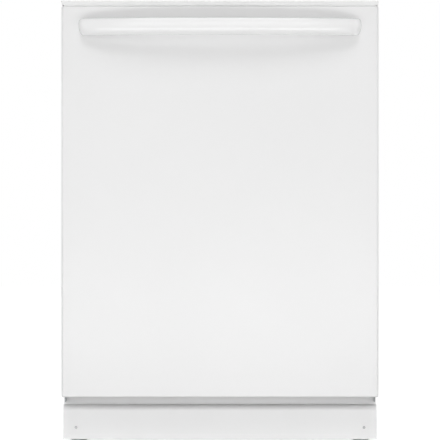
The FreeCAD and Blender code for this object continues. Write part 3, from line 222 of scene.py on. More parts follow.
def brushed(name, colour, rough, along):
    """Brushed sheet: fine lines along one axis, with long soft tone streaks."""
    m = NodeChain(name)
    stretch = tuple(0.02 if axis == along else 1.0 for axis in "XYZ")
    line = m.noise(2200.0, 4.0, stretch, 0.7)
    broad = m.noise(60.0, 3.0, stretch)
    m.colour_from(m.tint(m.spread(broad, 0, 1), shade(colour, 0.93), shade(colour, 1.05)))
    m.rough_from(m.spread(line, rough * 0.8, rough * 1.3))
    m.normal_from(m.bump(line, 0.10, 0.0002))
    m.plain(metallic=1.0)
    return m.material


def galvanised(name, colour, rough):
    """Zinc-coated steel: angular spangles of slightly different tone."""
    m = NodeChain(name)
    grey = m.add("ShaderNodeSeparateColor")
    m.link(m.cells(95.0)["Color"], grey.inputs["Color"])
    m.colour_from(m.tint(m.spread(grey.outputs["Red"], 0, 1, 0, 1), shade(colour, 0.82), shade(colour, 1.1)))
    m.rough_from(m.spread(grey.outputs["Green"], rough * 0.8, rough * 1.25, 0, 1))
    m.normal_from(m.bump(m.noise(700.0, 3.0), 0.08, 0.0002))
    m.plain(metallic=0.9)
    return m.material


def felted(name, colour):
    """Pressed recycled-fibre felt: matted strands, flecks, a soft nap and painted shade along the quilting
    creases.
    """
    m = NodeChain(name)
    strands = m.noise(900.0, 6.0, (1, 0.35, 0.6), 0.75)
    flecks = m.cells(420.0)["Distance"]
    base = m.tint(m.spread(strands, 0, 1), shade(colour, 0.65), shade(colour, 1.35))
    mix = m.add("ShaderNodeMix", data_type="RGBA")
    m.link(m.spread(flecks, 0.5, 0.0, 0.02, 0.22), mix.inputs["Factor"])
    m.link(base, mix.inputs["A"])
    mix.inputs["B"].default_value = (0.42, 0.44, 0.47, 1)
    # a near-black band along each quilting crease: a dark stitch line with painted shade in the crease round
    # it
    seam = m.add("ShaderNodeAttribute", attribute_name="seam").outputs["Fac"]
    stitch_and_crease_shade = m.add("ShaderNodeMix", data_type="RGBA")
    m.link(m.spread(seam, 0.0, 0.85, 0.25, 1.0), stitch_and_crease_shade.inputs["Factor"])
    m.link(mix.outputs["Result"], stitch_and_crease_shade.inputs["A"])
    stitch_and_crease_shade.inputs["B"].default_value = (0.018, 0.018, 0.019, 1)
    m.colour_from(stitch_and_crease_shade.outputs["Result"])
    m.normal_from(m.bump(strands, 0.7, 0.0015, m.bump(m.noise(60.0, 3.0), 0.5, 0.004)))
    m.plain(roughness=0.95, sheen_weight=0.25, sheen_roughness=0.5)
    return m.material


def perforated(name, colour, rough, pitch):
    """Steel sheet with a close pattern of round holes, each painted near-black as the shade seen through it,
    and dished at their rims.
    """
    m = NodeChain(name)
    rim = m.spread(m.cells(1 / pitch, 0.0)["Distance"], 0, 1, 0.30, 0.40)
    # painted shade: each hole is coloured near-black for the dark space behind the sheet
    m.colour_from(m.tint(rim, (0.015, 0.015, 0.016), colour))
    m.rough_from(m.spread(m.noise(300.0), rough * 0.8, rough * 1.2))
    m.normal_from(m.bump(rim, 0.5, 0.0004))
    m.plain(metallic=0.85)
    return m.material


def circuit_board(name, colour):
    """Green solder mask with copper tracks showing faintly through."""
    m = NodeChain(name)
    track = m.add("ShaderNodeTexBrick")
    for key, value in (("Scale", 90.0), ("Mortar Size", 0.03), ("Color1", (*colour, 1)),
                       ("Color2", (*shade(colour, 1.15), 1)), ("Mortar", (*shade(colour, 2.0), 1))):
        track.inputs[key].default_value = value
    m.link(m.mapped(), track.inputs["Vector"])
    m.colour_from(track.outputs["Color"])
    m.normal_from(m.bump(track.outputs["Fac"], 0.2, 0.0002))
    m.plain(roughness=0.3, coat_weight=0.4, coat_roughness=0.2)
    return m.material


FINISHES = {}


def make_finishes(colours):
    white, plastic, rack = tuple(colours.enamel), tuple(colours.trim), tuple(colours.rack_coat)
    FINISHES.update({
        "white_steel": enamel("baked_white_enamel", white, colours.enamel_roughness),
        "white_plastic": moulded("white_trim_moulding", plastic, 0.34, 0.02, 0.008),
        # the handle's enamel is a brighter copy of the door's: painted light for the extra light the bowed
        # bar catches; its clear gloss coat is real
        "handle_gloss_painted_light": enamel("glossy_white_handle_painted_light", shade(white, 1.08), 0.24, 0.5, 0.08),
        # the toe-kick screws' steel is darkened: painted shade of their cross recesses
        "kick_screw_painted_shade": polished("toe_kick_screw_painted_shade", (0.36, 0.36, 0.365), 0.32),
        # the toe kick's enamel is a brighter copy of the door's: painted light that makes up for the door's
        # shadow on the recessed kick
        "kick_enamel_painted_light": enamel("toe_kick_enamel_painted_light", shade(white, 1.13), 0.40),
        "grey_key": moulded("soft_grey_key", (0.50, 0.51, 0.52), 0.5),
        "dark_lens": moulded("smoked_window", (0.012, 0.013, 0.015), 0.08, 0.01),
        "green_board": circuit_board("solder_mask", (0.02, 0.12, 0.05)),
        "light_plastic": moulded("pale_grey_moulding", (0.62, 0.63, 0.64), 0.42),
        "grey_plastic": moulded("mid_grey_moulding", (0.20, 0.205, 0.215), 0.45),
        "dark_plastic": moulded("charcoal_moulding", (0.022, 0.022, 0.024), 0.5),
        "stainless": brushed("brushed_steel_sheet", (0.60, 0.61, 0.62), 0.28, "Z"),
        "zinc_steel": galvanised("zinc_spangle", (0.55, 0.57, 0.58), 0.42),
        "screw_steel": polished("plated_screw", (0.55, 0.55, 0.56), 0.22),
        "black_rubber": rubber("black_seal_rubber", (0.012, 0.012, 0.013), 0.62),
        "grey_rubber": rubber("grey_hose_rubber", (0.11, 0.115, 0.12), 0.55),
        "felt": felted("fibre_felt", (0.15, 0.15, 0.155)),
        "rack_nylon": moulded("nylon_coat", rack, 0.38, 0.05),
        "motor_black": enamel("black_motor_enamel", (0.018, 0.018, 0.02), 0.4),
        "spring_steel": polished("oil_tempered_wire", (0.16, 0.165, 0.17), 0.35),
        "element_steel": heat_tinted("heat_tinted_sheath", (0.36, 0.35, 0.34), 0.33),
        "filter_mesh": perforated("perforated_filter_sheet", (0.55, 0.56, 0.57), 0.3, 0.0022),
    })


# ---------------------------------------------------------------- mesh helpers
def shade_by_angle(mesh, degrees=SHARP):
    mesh.shade_smooth()
    mesh.set_sharp_from_angle(angle=math.radians(degrees))


def add_piece(name, bm, body, slot, replaces=(), finish=None, fix_normals=True, smooth=SHARP):
    """Turns a bmesh into a piece that rides on a body and takes a finish."""
    if fix_normals:
        bmesh.ops.recalc_face_normals(bm, faces=bm.faces)
    mesh = bpy.data.meshes.new(name)
    bm.to_mesh(mesh)
    bm.free()
    shade_by_angle(mesh, smooth)
    piece = bpy.data.objects.new(name, mesh)
    bpy.context.scene.collection.objects.link(piece)
    mesh.materials.append(FINISHES[finish or slot])
    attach(piece, body)
    if replaces:
        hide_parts(*replaces)
    return piece


def bevelled(piece, width, segments):
    """Rounds a piece's crisp edges."""
    bevel = piece.modifiers.new("edge_round", "BEVEL")
    bevel.width = width
    bevel.segments = segments
    bevel.limit_method = "ANGLE"
    bevel.angle_limit = math.radians(SHARP)
    bevel.use_clamp_overlap = True
    bevel.harden_normals = True


def refined(node, name=None, edge=0.0003, segments=2, finish=None, smooth=SHARP):
    """A merged copy of a CAD node with rounded edges and smooth curved faces, standing for the node."""
    source = NODES[node].data
    bm = bmesh.new()
    bm.from_mesh(source)
    bmesh.ops.remove_doubles(bm, verts=bm.verts, dist=2e-6)
    bmesh.ops.dissolve_limit(bm, angle_limit=math.radians(0.6), verts=bm.verts, edges=bm.edges)
    piece = add_piece(name or node + "_form", bm, BODY_OF[node], SLOT_OF[node], (node,), finish,
                      fix_normals=False, smooth=smooth)
    if edge:
        bevelled(piece, edge, segments)
    return piece


def block(bm, low, high, edge=0.0, segments=3):
    """A box between two corners with rounded edges."""
    low, high = Vector(low), Vector(high)
    made = bmesh.ops.create_cube(bm, size=1.0)["verts"]
    bmesh.ops.scale(bm, verts=made, vec=high - low)
    bmesh.ops.translate(bm, verts=made, vec=(low + high) / 2)
    if edge:
        edges = {e for v in made for e in v.link_edges}
        bmesh.ops.bevel(bm, geom=list(edges), offset=edge, segments=segments, profile=0.5,
                        affect="EDGES", material=-1)
    return made


def facing(direction):
    """Turns local Z towards a direction."""
    return Vector((0, 0, 1)).rotation_difference(Vector(direction)).to_matrix().to_4x4()


def drum(bm, start, end, radius, sides=32, edge=0.0):
    """A round bar or disc between two points, with rounded rims."""
    start, end = Vector(start), Vector(end)
    axis = end - start
    place = Matrix.Translation((start + end) / 2) @ facing(axis)
    made = bmesh.ops.create_cone(bm, cap_ends=True, segments=sides, radius1=radius, radius2=radius,
                                 depth=axis.length, matrix=place)["verts"]
    if edge:
        rims = [e for e in {e for v in made for e in v.link_edges}
                if any(len(f.verts) > 4 for f in e.link_faces)]
        bmesh.ops.bevel(bm, geom=rims, offset=edge, segments=3, profile=0.5, affect="EDGES", material=-1)


def turned(bm, profile, centre, axis, steps=48):
    """A profile of (radius, height) points in millimetres, spun about an axis through the centre."""
    place = Matrix.Translation(Vector(centre)) @ facing(axis)
    verts = [bm.verts.new(place @ mm(r, 0, h)) for r, h in profile]
    edges = [bm.edges.new(pair) for pair in zip(verts, verts[1:])]
    starts_and_ends_on_axis = profile[0][0] == 0 and profile[-1][0] == 0
    if not starts_and_ends_on_axis:
        edges.append(bm.edges.new((verts[-1], verts[0])))
    bmesh.ops.spin(bm, geom=verts + edges, cent=centre, axis=axis, dvec=(0, 0, 0), angle=2 * math.pi,
                   steps=steps, use_merge=True, use_duplicate=False)
    bmesh.ops.remove_doubles(bm, verts=bm.verts, dist=1e-7)


def edges_of(verts):
    return list({e for v in verts for e in v.link_edges})


def grow(bm, ring):
    """Extrudes a ring of edges where it stands: the new vertices and the new ring."""
    grown = bmesh.ops.extrude_edge_only(bm, edges=ring)["geom"]
    fresh = [g for g in grown if isinstance(g, bmesh.types.BMVert)]
    return fresh, [g for g in grown if isinstance(g, bmesh.types.BMEdge) and all(v in fresh for v in g.verts)]


ARC_STEP = 15  # degrees between the rings of a bend


def wire_run(bm, points, bend, radius, sides=10, closed=False):
    """Bent wire: straight lengths joined by true arcs, made by extruding and spinning one ring."""
    points = [Vector(p) for p in points]
    if closed:
        middle = (points[0] + points[1]) / 2
        points = [middle, *points[1:], points[0], middle]
    heading = (points[1] - points[0]).normalized()
    made = bmesh.ops.create_circle(bm, cap_ends=not closed, segments=sides, radius=radius,
                                   matrix=Matrix.Translation(points[0]) @ facing(heading))["verts"]
    first = list(made)
    ring = edges_of(made)
    at = points[0]
    for corner, after in zip(points[1:], [*points[2:], None]):
        into = (corner - at).normalized()
        back = 0.0
        if after is not None:
            out = (after - corner).normalized()
            turn = into.angle(out)
            back = bend * math.tan(turn / 2)
            axis = into.cross(out)
            inward = axis.cross(into).normalized()
            centre = corner - into * back + inward * bend
        fresh, ring = grow(bm, ring)
        bmesh.ops.translate(bm, verts=fresh, vec=corner - into * back - at)
        at = corner - into * back
        if after is not None:
            steps = max(3, int(math.degrees(turn) / ARC_STEP))
            last = bmesh.ops.spin(bm, geom=ring, cent=centre, axis=axis, dvec=(0, 0, 0), angle=turn,
                                  steps=steps, use_merge=False, use_duplicate=False)["geom_last"]
            ring = [g for g in last if isinstance(g, bmesh.types.BMEdge)]
            at = corner + out * back
    end_verts = list({v for e in ring for v in e.verts})
    if closed:
        bmesh.ops.remove_doubles(bm, verts=end_verts + first, dist=radius * 0.05)
    else:
        bmesh.ops.contextual_create(bm, geom=ring)


def rings_along(bm, section, stations, cap=True):
    """Joins copies of a closed section placed by each station's matrix, one extrusion after another."""
    verts = [bm.verts.new(stations[0] @ p) for p in section]
    ring = [bm.edges.new((a, b)) for a, b in zip(verts, verts[1:] + verts[:1])]
    if cap:
        bm.faces.new(verts)
    for before, station in zip(stations, stations[1:]):
        fresh, ring = grow(bm, ring)
        bmesh.ops.transform(bm, matrix=station @ before.inverted(), verts=fresh)
    if cap:
        bmesh.ops.contextual_create(bm, geom=ring)


def laid_line(points, step):
    """Even steps along a hose's line: each step's place and heading. The line is the route's NURBS curve."""
    curve = bpy.data.curves.new("hose_line", "CURVE")
    curve.dimensions, curve.resolution_u = "3D", 24
    spline = curve.splines.new("NURBS")
    spline.points.add(len(points) - 1)
    for point, place in zip(spline.points, points):
        point.co = (*place, 1)
    spline.order_u, spline.use_endpoint_u = 3, True
    holder = bpy.data.objects.new("hose_line", curve)
    mesh = bpy.data.meshes.new_from_object(holder)
    spots = [v.co.copy() for v in mesh.vertices]
    bpy.data.objects.remove(holder)
    bpy.data.curves.remove(curve)
    bpy.data.meshes.remove(mesh)
    out, due = [], 0.0
    for here, there in zip(spots, spots[1:]):
        span = (there - here).length
        while due < span:
            out.append((here.lerp(there, due / span), (there - here).normalized()))
            due += step
        due -= span
    return [*out, (spots[-1], out[-1][1])]


def ribbed_hose(bm, places, radius, valley, cuff=12, sides=16):
    """A hose with close round ribs between smooth cuffs, which are cuff places long."""
    section = [Vector((radius * math.cos(a), radius * math.sin(a), 0))
               for a in (2 * math.pi * k / sides for k in range(sides))]
    heading = places[0][1]
    turn = facing(heading)
    stations = []
    for i, (spot, onward) in enumerate(places):
        turn = heading.rotation_difference(onward).to_matrix().to_4x4() @ turn
        heading = onward
        ribbed = cuff < i < len(places) - cuff
        size = 1 - valley * (i % 2) if ribbed else 1 - 0.3 * valley
        stations.append(Matrix.Translation(spot) @ turn @ Matrix.Scale(size, 4))
    rings_along(bm, section, stations)


def domed_pin(bm, start, end, radius, sides=10):
    """A rack tine: a round bar with a soft, rounded tip."""
    start, end = Vector(start), Vector(end)
    up = (end - start).normalized()
    drum(bm, start, end - up * radius * 0.5, radius, sides)
    made = bmesh.ops.create_uvsphere(bm, u_segments=sides, v_segments=6, radius=radius)["verts"]
    bmesh.ops.translate(bm, verts=made, vec=end - up * radius * 0.6)


def smooth_closed(points, per_span=6):
    """A closed run of points through the given ones, rounded as a Catmull-Rom curve."""
    out, n = [], len(points)
    for i in range(n):
        p0, p1, p2, p3 = (Vector(points[(i + k - 1) % n]) for k in range(4))
        for step in range(per_span):
            t = step / per_span
            out.append(0.5 * (2 * p1 + (p2 - p0) * t + (2 * p0 - 5 * p1 + 4 * p2 - p3) * t**2
                              + (3 * p1 - p0 - 3 * p2 + p3) * t**3))
    return out


def spaced(first, last, count):
    return [first + (last - first) * i / (count - 1) for i in range(count)]


# ---------------------------------------------------------------- settings
class DISHWASHER_PG_finishes(bpy.types.PropertyGroup):
    """Colours of the coated surfaces."""

    enamel: FloatVectorProperty(name="Enamel", description="Colour of the door and toe kick", subtype="COLOR",
                                size=3, min=0, max=1, default=(0.86, 0.86, 0.86))
    enamel_roughness: FloatProperty(name="Enamel roughness", description="Gloss of the enamel", min=0.02,
                                    max=1, default=0.36)
    trim: FloatVectorProperty(name="Console", description="Colour of the console moulding", subtype="COLOR",
                              size=3, min=0, max=1, default=(0.90, 0.90, 0.90))
    rack_coat: FloatVectorProperty(name="Rack coating", description="Colour of the racks' nylon coat",
                                   subtype="COLOR", size=3, min=0, max=1, default=(0.36, 0.385, 0.41))


class DISHWASHER_PG_handle(bpy.types.PropertyGroup):
    """Size of the bar handle."""

    reach: FloatProperty(name="Reach", description="How far the bar stands off the door", unit="LENGTH",
                         min=0.03, max=0.06, default=0.050)
    turn: FloatProperty(name="End turn", description="Radius of the turn back to the door", unit="LENGTH",
                        min=0.01, max=0.03, default=0.020)
    half_span: FloatProperty(name="Half span", description="Middle of the bar to its end's centre line",
                             unit="LENGTH", min=0.2, max=0.28, default=0.262)


class DISHWASHER_PG_racks(bpy.types.PropertyGroup):
    """Wire sizes of both racks."""

    wire: FloatProperty(name="Wire", description="Radius of the basket wires", unit="LENGTH", min=0.001,
                        max=0.0025, default=0.0018)
    rim: FloatProperty(name="Rim wire", description="Radius of the frame wires", unit="LENGTH", min=0.0015,
                       max=0.0035, default=0.0025)
    bend: FloatProperty(name="Bend", description="Bend radius of the basket wires", unit="LENGTH", min=0.005,
                        max=0.03, default=0.011)


class DISHWASHER_PG_jacket(bpy.types.PropertyGroup):
    """The quilted sound jacket around the tub."""

    pitch: FloatProperty(name="Quilting", description="Distance between stitch lines", unit="LENGTH",
                         min=0.05, max=0.2, default=0.096)
    loft: FloatProperty(name="Loft", description="How far each pillow stands proud of its seams",
                        unit="LENGTH", min=0.0, max=0.005, default=0.0034)


class DISHWASHER_PG_springs(bpy.types.PropertyGroup):
    """The springs that balance the door."""

    coils: IntProperty(name="Coils", description="Turns in each door spring", min=5, max=60, default=26)


class DISHWASHER_PG_stage(bpy.types.PropertyGroup):
    """Camera and light."""

    distance: FloatProperty(name="Camera distance", description="From the door's face", unit="LENGTH", min=1,
                            max=20, default=5.2)
    eye: FloatProperty(name="Camera height", description="Above the floor", unit="LENGTH", min=0, max=2,
                       default=0.4274)
    lens: FloatProperty(name="Lens", description="Focal length in millimetres", min=20, max=400,
                        default=222.7)
    ambient: FloatProperty(name="Ambient", description="Strength of the surrounding light", min=0, max=3,
                           default=0.29)
    front: FloatProperty(name="Front light", description="Power of the wide light behind the camera",
                         unit="POWER", min=0, max=2000, default=63.0)
    low: FloatProperty(name="Low light", description="Power of the long light near the floor",
                       unit="POWER", min=0, max=500, default=6.7)
    key: FloatProperty(name="Key light", description="Power of the soft light above the front",
                       unit="POWER", min=0, max=500, default=96.0)
    side: FloatProperty(name="Side lights", description="Power of each soft light beside the door",
                        unit="POWER", min=0, max=500, default=7.0)


SETTINGS = {"finishes": DISHWASHER_PG_finishes, "handle": DISHWASHER_PG_handle, "racks": DISHWASHER_PG_racks,
            "jacket": DISHWASHER_PG_jacket, "springs": DISHWASHER_PG_springs, "stage": DISHWASHER_PG_stage}


def settings(name):
    return getattr(bpy.context.scene, "dishwasher_" + name)


# ---------------------------------------------------------------- door
class DISHWASHER_OT_finishes(bpy.types.Operator):
    """Make every paint, plastic, metal and cloth finish"""

    bl_idname = "dishwasher.make_finishes"
    bl_label = "Finishes"

    def execute(self, context):
        make_finishes(settings("finishes"))
        return {"FINISHED"}


class DISHWASHER_OT_door(bpy.types.Operator):
    """Add the painted door skin"""

    bl_idname = "dishwasher.add_door"
    bl_label = "Door skin"

    def execute(self, context):
        refined("door_outer_panel", "door_skin", 0.0004, smooth=40)
        return {"FINISHED"}


class DISHWASHER_OT_handle(bpy.types.Operator):
    """Add the bowed bar handle"""

    bl_idname = "dishwasher.add_handle"
    bl_label = "Handle"

    def execute(self, context):
        size = settings("handle")
        low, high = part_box("handle_bar")
        mid_z = (low.z + high.z) / 2
        # the bar's cross-section in millimetres: out from the door, up
        outline = ((-7.0, -13.0), (-0.5, -16.3), (4.6, -11.5), (7.4, -3.5), (8.2, 5.5), (7.3, 12.0),
                   (5.2, 15.2), (0.0, 16.3), (-6.5, 14.8), (-8.0, 1.0))
        section = [p * MM for p in smooth_closed([(u, 0, v) for u, v in outline], 5)]
        face = size.reach - max(u for u, _ in outline) * MM
        base = size.half_span - size.turn
        # half of the centre line as across, off the door and heading: the end's turn, then the bow
        half = [(base + size.turn * math.cos(a), size.turn * math.sin(a), a)
                for a in map(math.radians, range(0, 77, 4))]
        end_x, end_d, _ = half[-1]
        rise = face - end_d
        bow_steps = 32
        for i in range(1, bow_steps + 1):
            u = 1 - i / bow_steps
            slope = rise * (1.1 * u + 2.7 * u**5) / end_x
            d = face - rise * (0.55 * u**2 + 0.45 * u**6)
            half.append((end_x * u, d, math.pi / 2 - math.atan(slope)))
        run = [(-x, d, math.pi - a) for x, d, a in half[:-1]] + half[::-1]
        stations = [Matrix.Translation((x, SKIN_Y - d, mid_z)) @ Matrix.Rotation(-a, 4, "Z")
                    for x, d, a in run]
        bm = bmesh.new()
        rings_along(bm, section, stations)
        # the bar takes the brighter enamel copy, painted light over a real gloss coat
        add_piece("bar_handle", bm, "door", "white_steel", ("handle_bar",), "handle_gloss_painted_light", smooth=70)
        return {"FINISHED"}


def key_mark(node, middle, top):
    """A raised bar and dot on each key cap, as a touch mark."""
    bm = bmesh.new()
    x, y = middle.x, middle.y
    low, high = top - 0.3 * MM, top + 0.1 * MM
    block(bm, (x - 4.5 * MM, y - 3.5 * MM, low), (x + 4.5 * MM, y - 2.5 * MM, high), 0.1 * MM, 2)
    drum(bm, (x, y + 2.2 * MM, low), (x, y + 2.2 * MM, high), 1.1 * MM, 20)
    add_piece(node + "_mark", bm, BODY_OF[node], "dark_lens")


class DISHWASHER_OT_console(bpy.types.Operator):
    """Add the top console, its keys, window, board and latch"""

    bl_idname = "dishwasher.add_console"
    bl_label = "Console"

    def execute(self, context):
        refined("console_shell", "console_trim", 0.0003)
        for node in ("button_cycle", "button_options", "button_delay", "button_start"):
            refined(node, node + "_cap", 0.0004, 3)
            low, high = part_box(node)
            key_mark(node, (low + high) / 2, high.z)
        refined("console_display_lens", "display_window", 0.0002, 3)
        lip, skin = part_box("console_shell"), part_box("door_outer_panel")[1]
        bm = bmesh.new()
        # fills the seam between the console and the skin, behind both faces
        block(bm, (-skin.x + 5 * MM, SKIN_Y + 2.1 * MM, skin.z + 0.1 * MM),
              (skin.x - 5 * MM, SKIN_Y + 3.2 * MM, lip[1].z - 7.9 * MM), 0.1 * MM, 1)
        add_piece("console_seam_strip", bm, "door", "white_plastic")
        refined("control_board", "control_board_assembly", 0.0002)
        refined("latch_housing", "latch_case", 0.0004)
        refined("latch_hook", "latch_lever", 0.0004)
        return {"FINISHED"}


def pressed_field(bm, x0, x1, z0, z1):
    """A shallow raised field with wide soft shoulders."""
    made = block(bm, mm(x0, LINER_Y / MM - 0.6, z0), mm(x1, LINER_Y / MM + 1.5, z1))
    upright = [e for e in edges_of(made) if abs(e.verts[0].co.y - e.verts[1].co.y) > MM]
    bmesh.ops.bevel(bm, geom=upright, offset=14 * MM, segments=8, profile=0.5, affect="EDGES", material=-1)
    mid_z = (z0 + z1) / 2 * MM
    front = [f for f in bm.faces if f.normal.y > 0.9 and abs(f.calc_center_median().z - mid_z) < 2 * MM]
    inner = bmesh.ops.inset_region(bm, faces=front, thickness=7 * MM, use_even_offset=True)["faces"]
    outer = {v for f in inner for v in f.verts} - {v for f in front for v in f.verts}
    bmesh.ops.translate(bm, verts=list(outer), vec=(0, -1.2 * MM, 0))


class DISHWASHER_OT_liner(bpy.types.Operator):
    """Add the door's steel liner with its pressed fields, dispenser, vent, seal and screws"""

    bl_idname = "dishwasher.add_liner"
    bl_label = "Door liner"

    def execute(self, context):
        refined("door_inner_panel", "liner_sheet", 0.0003)
        bm = bmesh.new()
        for x0, x1, z0, z1 in ((-262, 262, 178, 342), (-262, 262, 512, 584), (-262, 150, 600, 790)):
            pressed_field(bm, x0, x1, z0, z1)
        add_piece("liner_pressed_fields", bm, "door", "stainless", smooth=50)
        refined("dispenser_body", "dispenser_frame", 0.0008, 3)
        refined("dispenser_lid", "detergent_cover", 0.0007, 3)
        refined("rinse_aid_cap", "rinse_aid_knob", 0.0007, 3)
        refined("vent_housing", "drying_vent", 0.0006, 3)
        refined("door_bottom_seal", "bottom_seal", 0.0006, 3)
        refined("door_screws", "liner_and_handle_screws", 0.0003)
        refined("hinge_arms", "hinge_levers", 0.0003)
        return {"FINISHED"}


# ---------------------------------------------------------------- base
def kick_screws():
    """Small cross-recess pan heads in darkened steel, which paints the shade of their recesses; the shanks
    keep their size.
    """
    screws = refined("toe_kick_screws", "toe_kick_screw_pair", 0.0, finish="kick_screw_painted_shade")
    low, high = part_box("toe_kick_screws")
    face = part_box("toe_kick")[0].y
    cad_radius, scale = 4 * MM, 0.64
    z = (low.z + high.z) / 2
    for v in screws.data.vertices:
        if v.co.y < face + 0.01 * MM:
            x = math.copysign(high.x - cad_radius, v.co.x)
            v.co.x, v.co.z = x + (v.co.x - x) * scale, z + (v.co.z - z) * scale


def screw_feet(node):
    """Round pads on threaded studs, each with the hexagon that turns it."""
    low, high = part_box(node)
    y, pad, pitch = (low.y + high.y) / 2, 17, 1.48
    single = high.x - low.x < 0.1
    xs = ((low.x + high.x) / 2,) if single else (low.x + pad * MM, high.x - pad * MM)
    thread = [p for z in (17.5 + i * pitch for i in range(50)) for p in ((4.95, z), (4.25, z + pitch / 2))]
    profile = [(0, 0), (pad - 1.2, 0), (pad, 1.2), (pad, 3), (11, 8), (4.3, 8), *thread, (4.2, 91.2),
               (3.4, 92), (0, 92)]
    bm = bmesh.new()
    for x in xs:
        turned(bm, profile, (x, y, 0), (0, 0, 1), 32)
        drum(bm, (x, y, 8 * MM), (x, y, 17 * MM), 9 * MM, 6, 0.0006)
    add_piece(node + "_screw_foot", bm, BODY_OF[node], SLOT_OF[node], (node,))


class DISHWASHER_OT_base(bpy.types.Operator):
    """Add the base channels, hinge brackets, toe kick and levelling legs"""

    bl_idname = "dishwasher.add_base"
    bl_label = "Base"

    def execute(self, context):
        refined("base_frame", "base_channels", 0.0004)
        refined("hinge_brackets", "hinge_ears", 0.0003)
        # the kick takes the brighter enamel copy, painted light against the door's shadow
        refined("toe_kick", "toe_kick_plate", 0.0003, finish="kick_enamel_painted_light", smooth=40)
        kick_screws()
        low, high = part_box("access_panel")
        bm = bmesh.new()
        block(bm, (low.x - 5.5 * MM, low.y, low.z), (high.x + 5.5 * MM, high.y, high.z), 0.0002, 2)
        add_piece("inner_access_panel", bm, "cabinet", "white_steel", ("access_panel",))
        for node in ("levelling_leg_front_left", "levelling_leg_front_right", "levelling_legs_rear"):
            screw_feet(node)
        return {"FINISHED"}


# ---------------------------------------------------------------- tub
def wall_beads():
    """Half-round stiffening beads pressed into the walls and back."""
    bm = bmesh.new()
    wall, back, bead, bend = 281.8, 298.8, 3 * MM, 10 * MM
    for side in (-1, 1):
        for z in (200, 240, 280, 600, 640, 680, 720):
            wire_run(bm, [mm(side * wall, -175, z), mm(side * wall, 262, z)], bend, bead, 12)
    for x in (-200, -120, 120, 200):
        wire_run(bm, [mm(x, back, 230), mm(x, back, 760)], bend, bead, 12)
    sheets = ((mm(wall, 0, 0), (1, 0, 0)), (mm(-wall, 0, 0), (-1, 0, 0)), (mm(0, back, 0), (0, 1, 0)))
    for spot, outward in sheets:
        geom = list(bm.verts) + list(bm.edges) + list(bm.faces)
        bmesh.ops.bisect_plane(bm, geom=geom, plane_co=spot, plane_no=outward, clear_outer=True)
    add_piece("tub_pressed_beads", bm, "cabinet", "stainless", smooth=60)


def mouth_gasket():
    """A hollow bulb seal that runs up, over and down the tub's mouth."""
    low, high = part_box("tub_gasket")
    mid_y, r = (low.y + high.y) / 2, (high.y - low.y) / 2
    inset, corner, lip = 5.5 * MM, 30 * MM, 0.9 * MM
    x, top = high.x - inset, high.z - inset
    bm = bmesh.new()
    wire_run(bm, [(-x, mid_y, low.z), (-x, mid_y, top), (x, mid_y, top), (x, mid_y, low.z)], corner,
             r - 0.1 * MM, 20)
    # two lips over the top, which run together down each side
    reach = 3.6 * MM
    across, y = x + reach, high.y - lip
    for rise in (-reach, reach):
        wire_run(bm, [(-across, y, low.z), (-across, y, top + rise), (across, y, top + rise),
                      (across, y, low.z)], corner, lip, 8)
    add_piece("bulb_gasket", bm, "cabinet", "black_rubber", ("tub_gasket",), smooth=50)


class DISHWASHER_OT_tub(bpy.types.Operator):
    """Add the steel tub with its pressed beads, the brackets and the gasket"""

    bl_idname = "dishwasher.add_tub"
    bl_label = "Tub"

    def execute(self, context):
        refined("tub_shell", "tub_walls", 0.0003, smooth=40)
        refined("tub_floor", "tub_floor_pressing", 0.0004, smooth=40)
        wall_beads()
        mouth_gasket()
        refined("mounting_brackets", "worktop_brackets", 0.0003)
        refined("latch_strike", "strike_plate", 0.0003)
        refined("rail_guides", "rail_guide_blocks", 0.0006, 3)
        return {"FINISHED"}


def thickened(panel, skin):
    """Turns an open quilted sheet outwards and gives it its thickness."""
    outward = sum((p.normal.y if "back" in panel.name else p.normal.z) for p in panel.data.polygons)
    if outward < 0:
        panel.data.flip_normals()
    bm = bmesh.new()
    bm.from_mesh(panel.data)
    bmesh.ops.solidify(bm, geom=bm.faces, thickness=skin)
    bm.to_mesh(panel.data)
    bm.free()
    shade_by_angle(panel.data, 80)


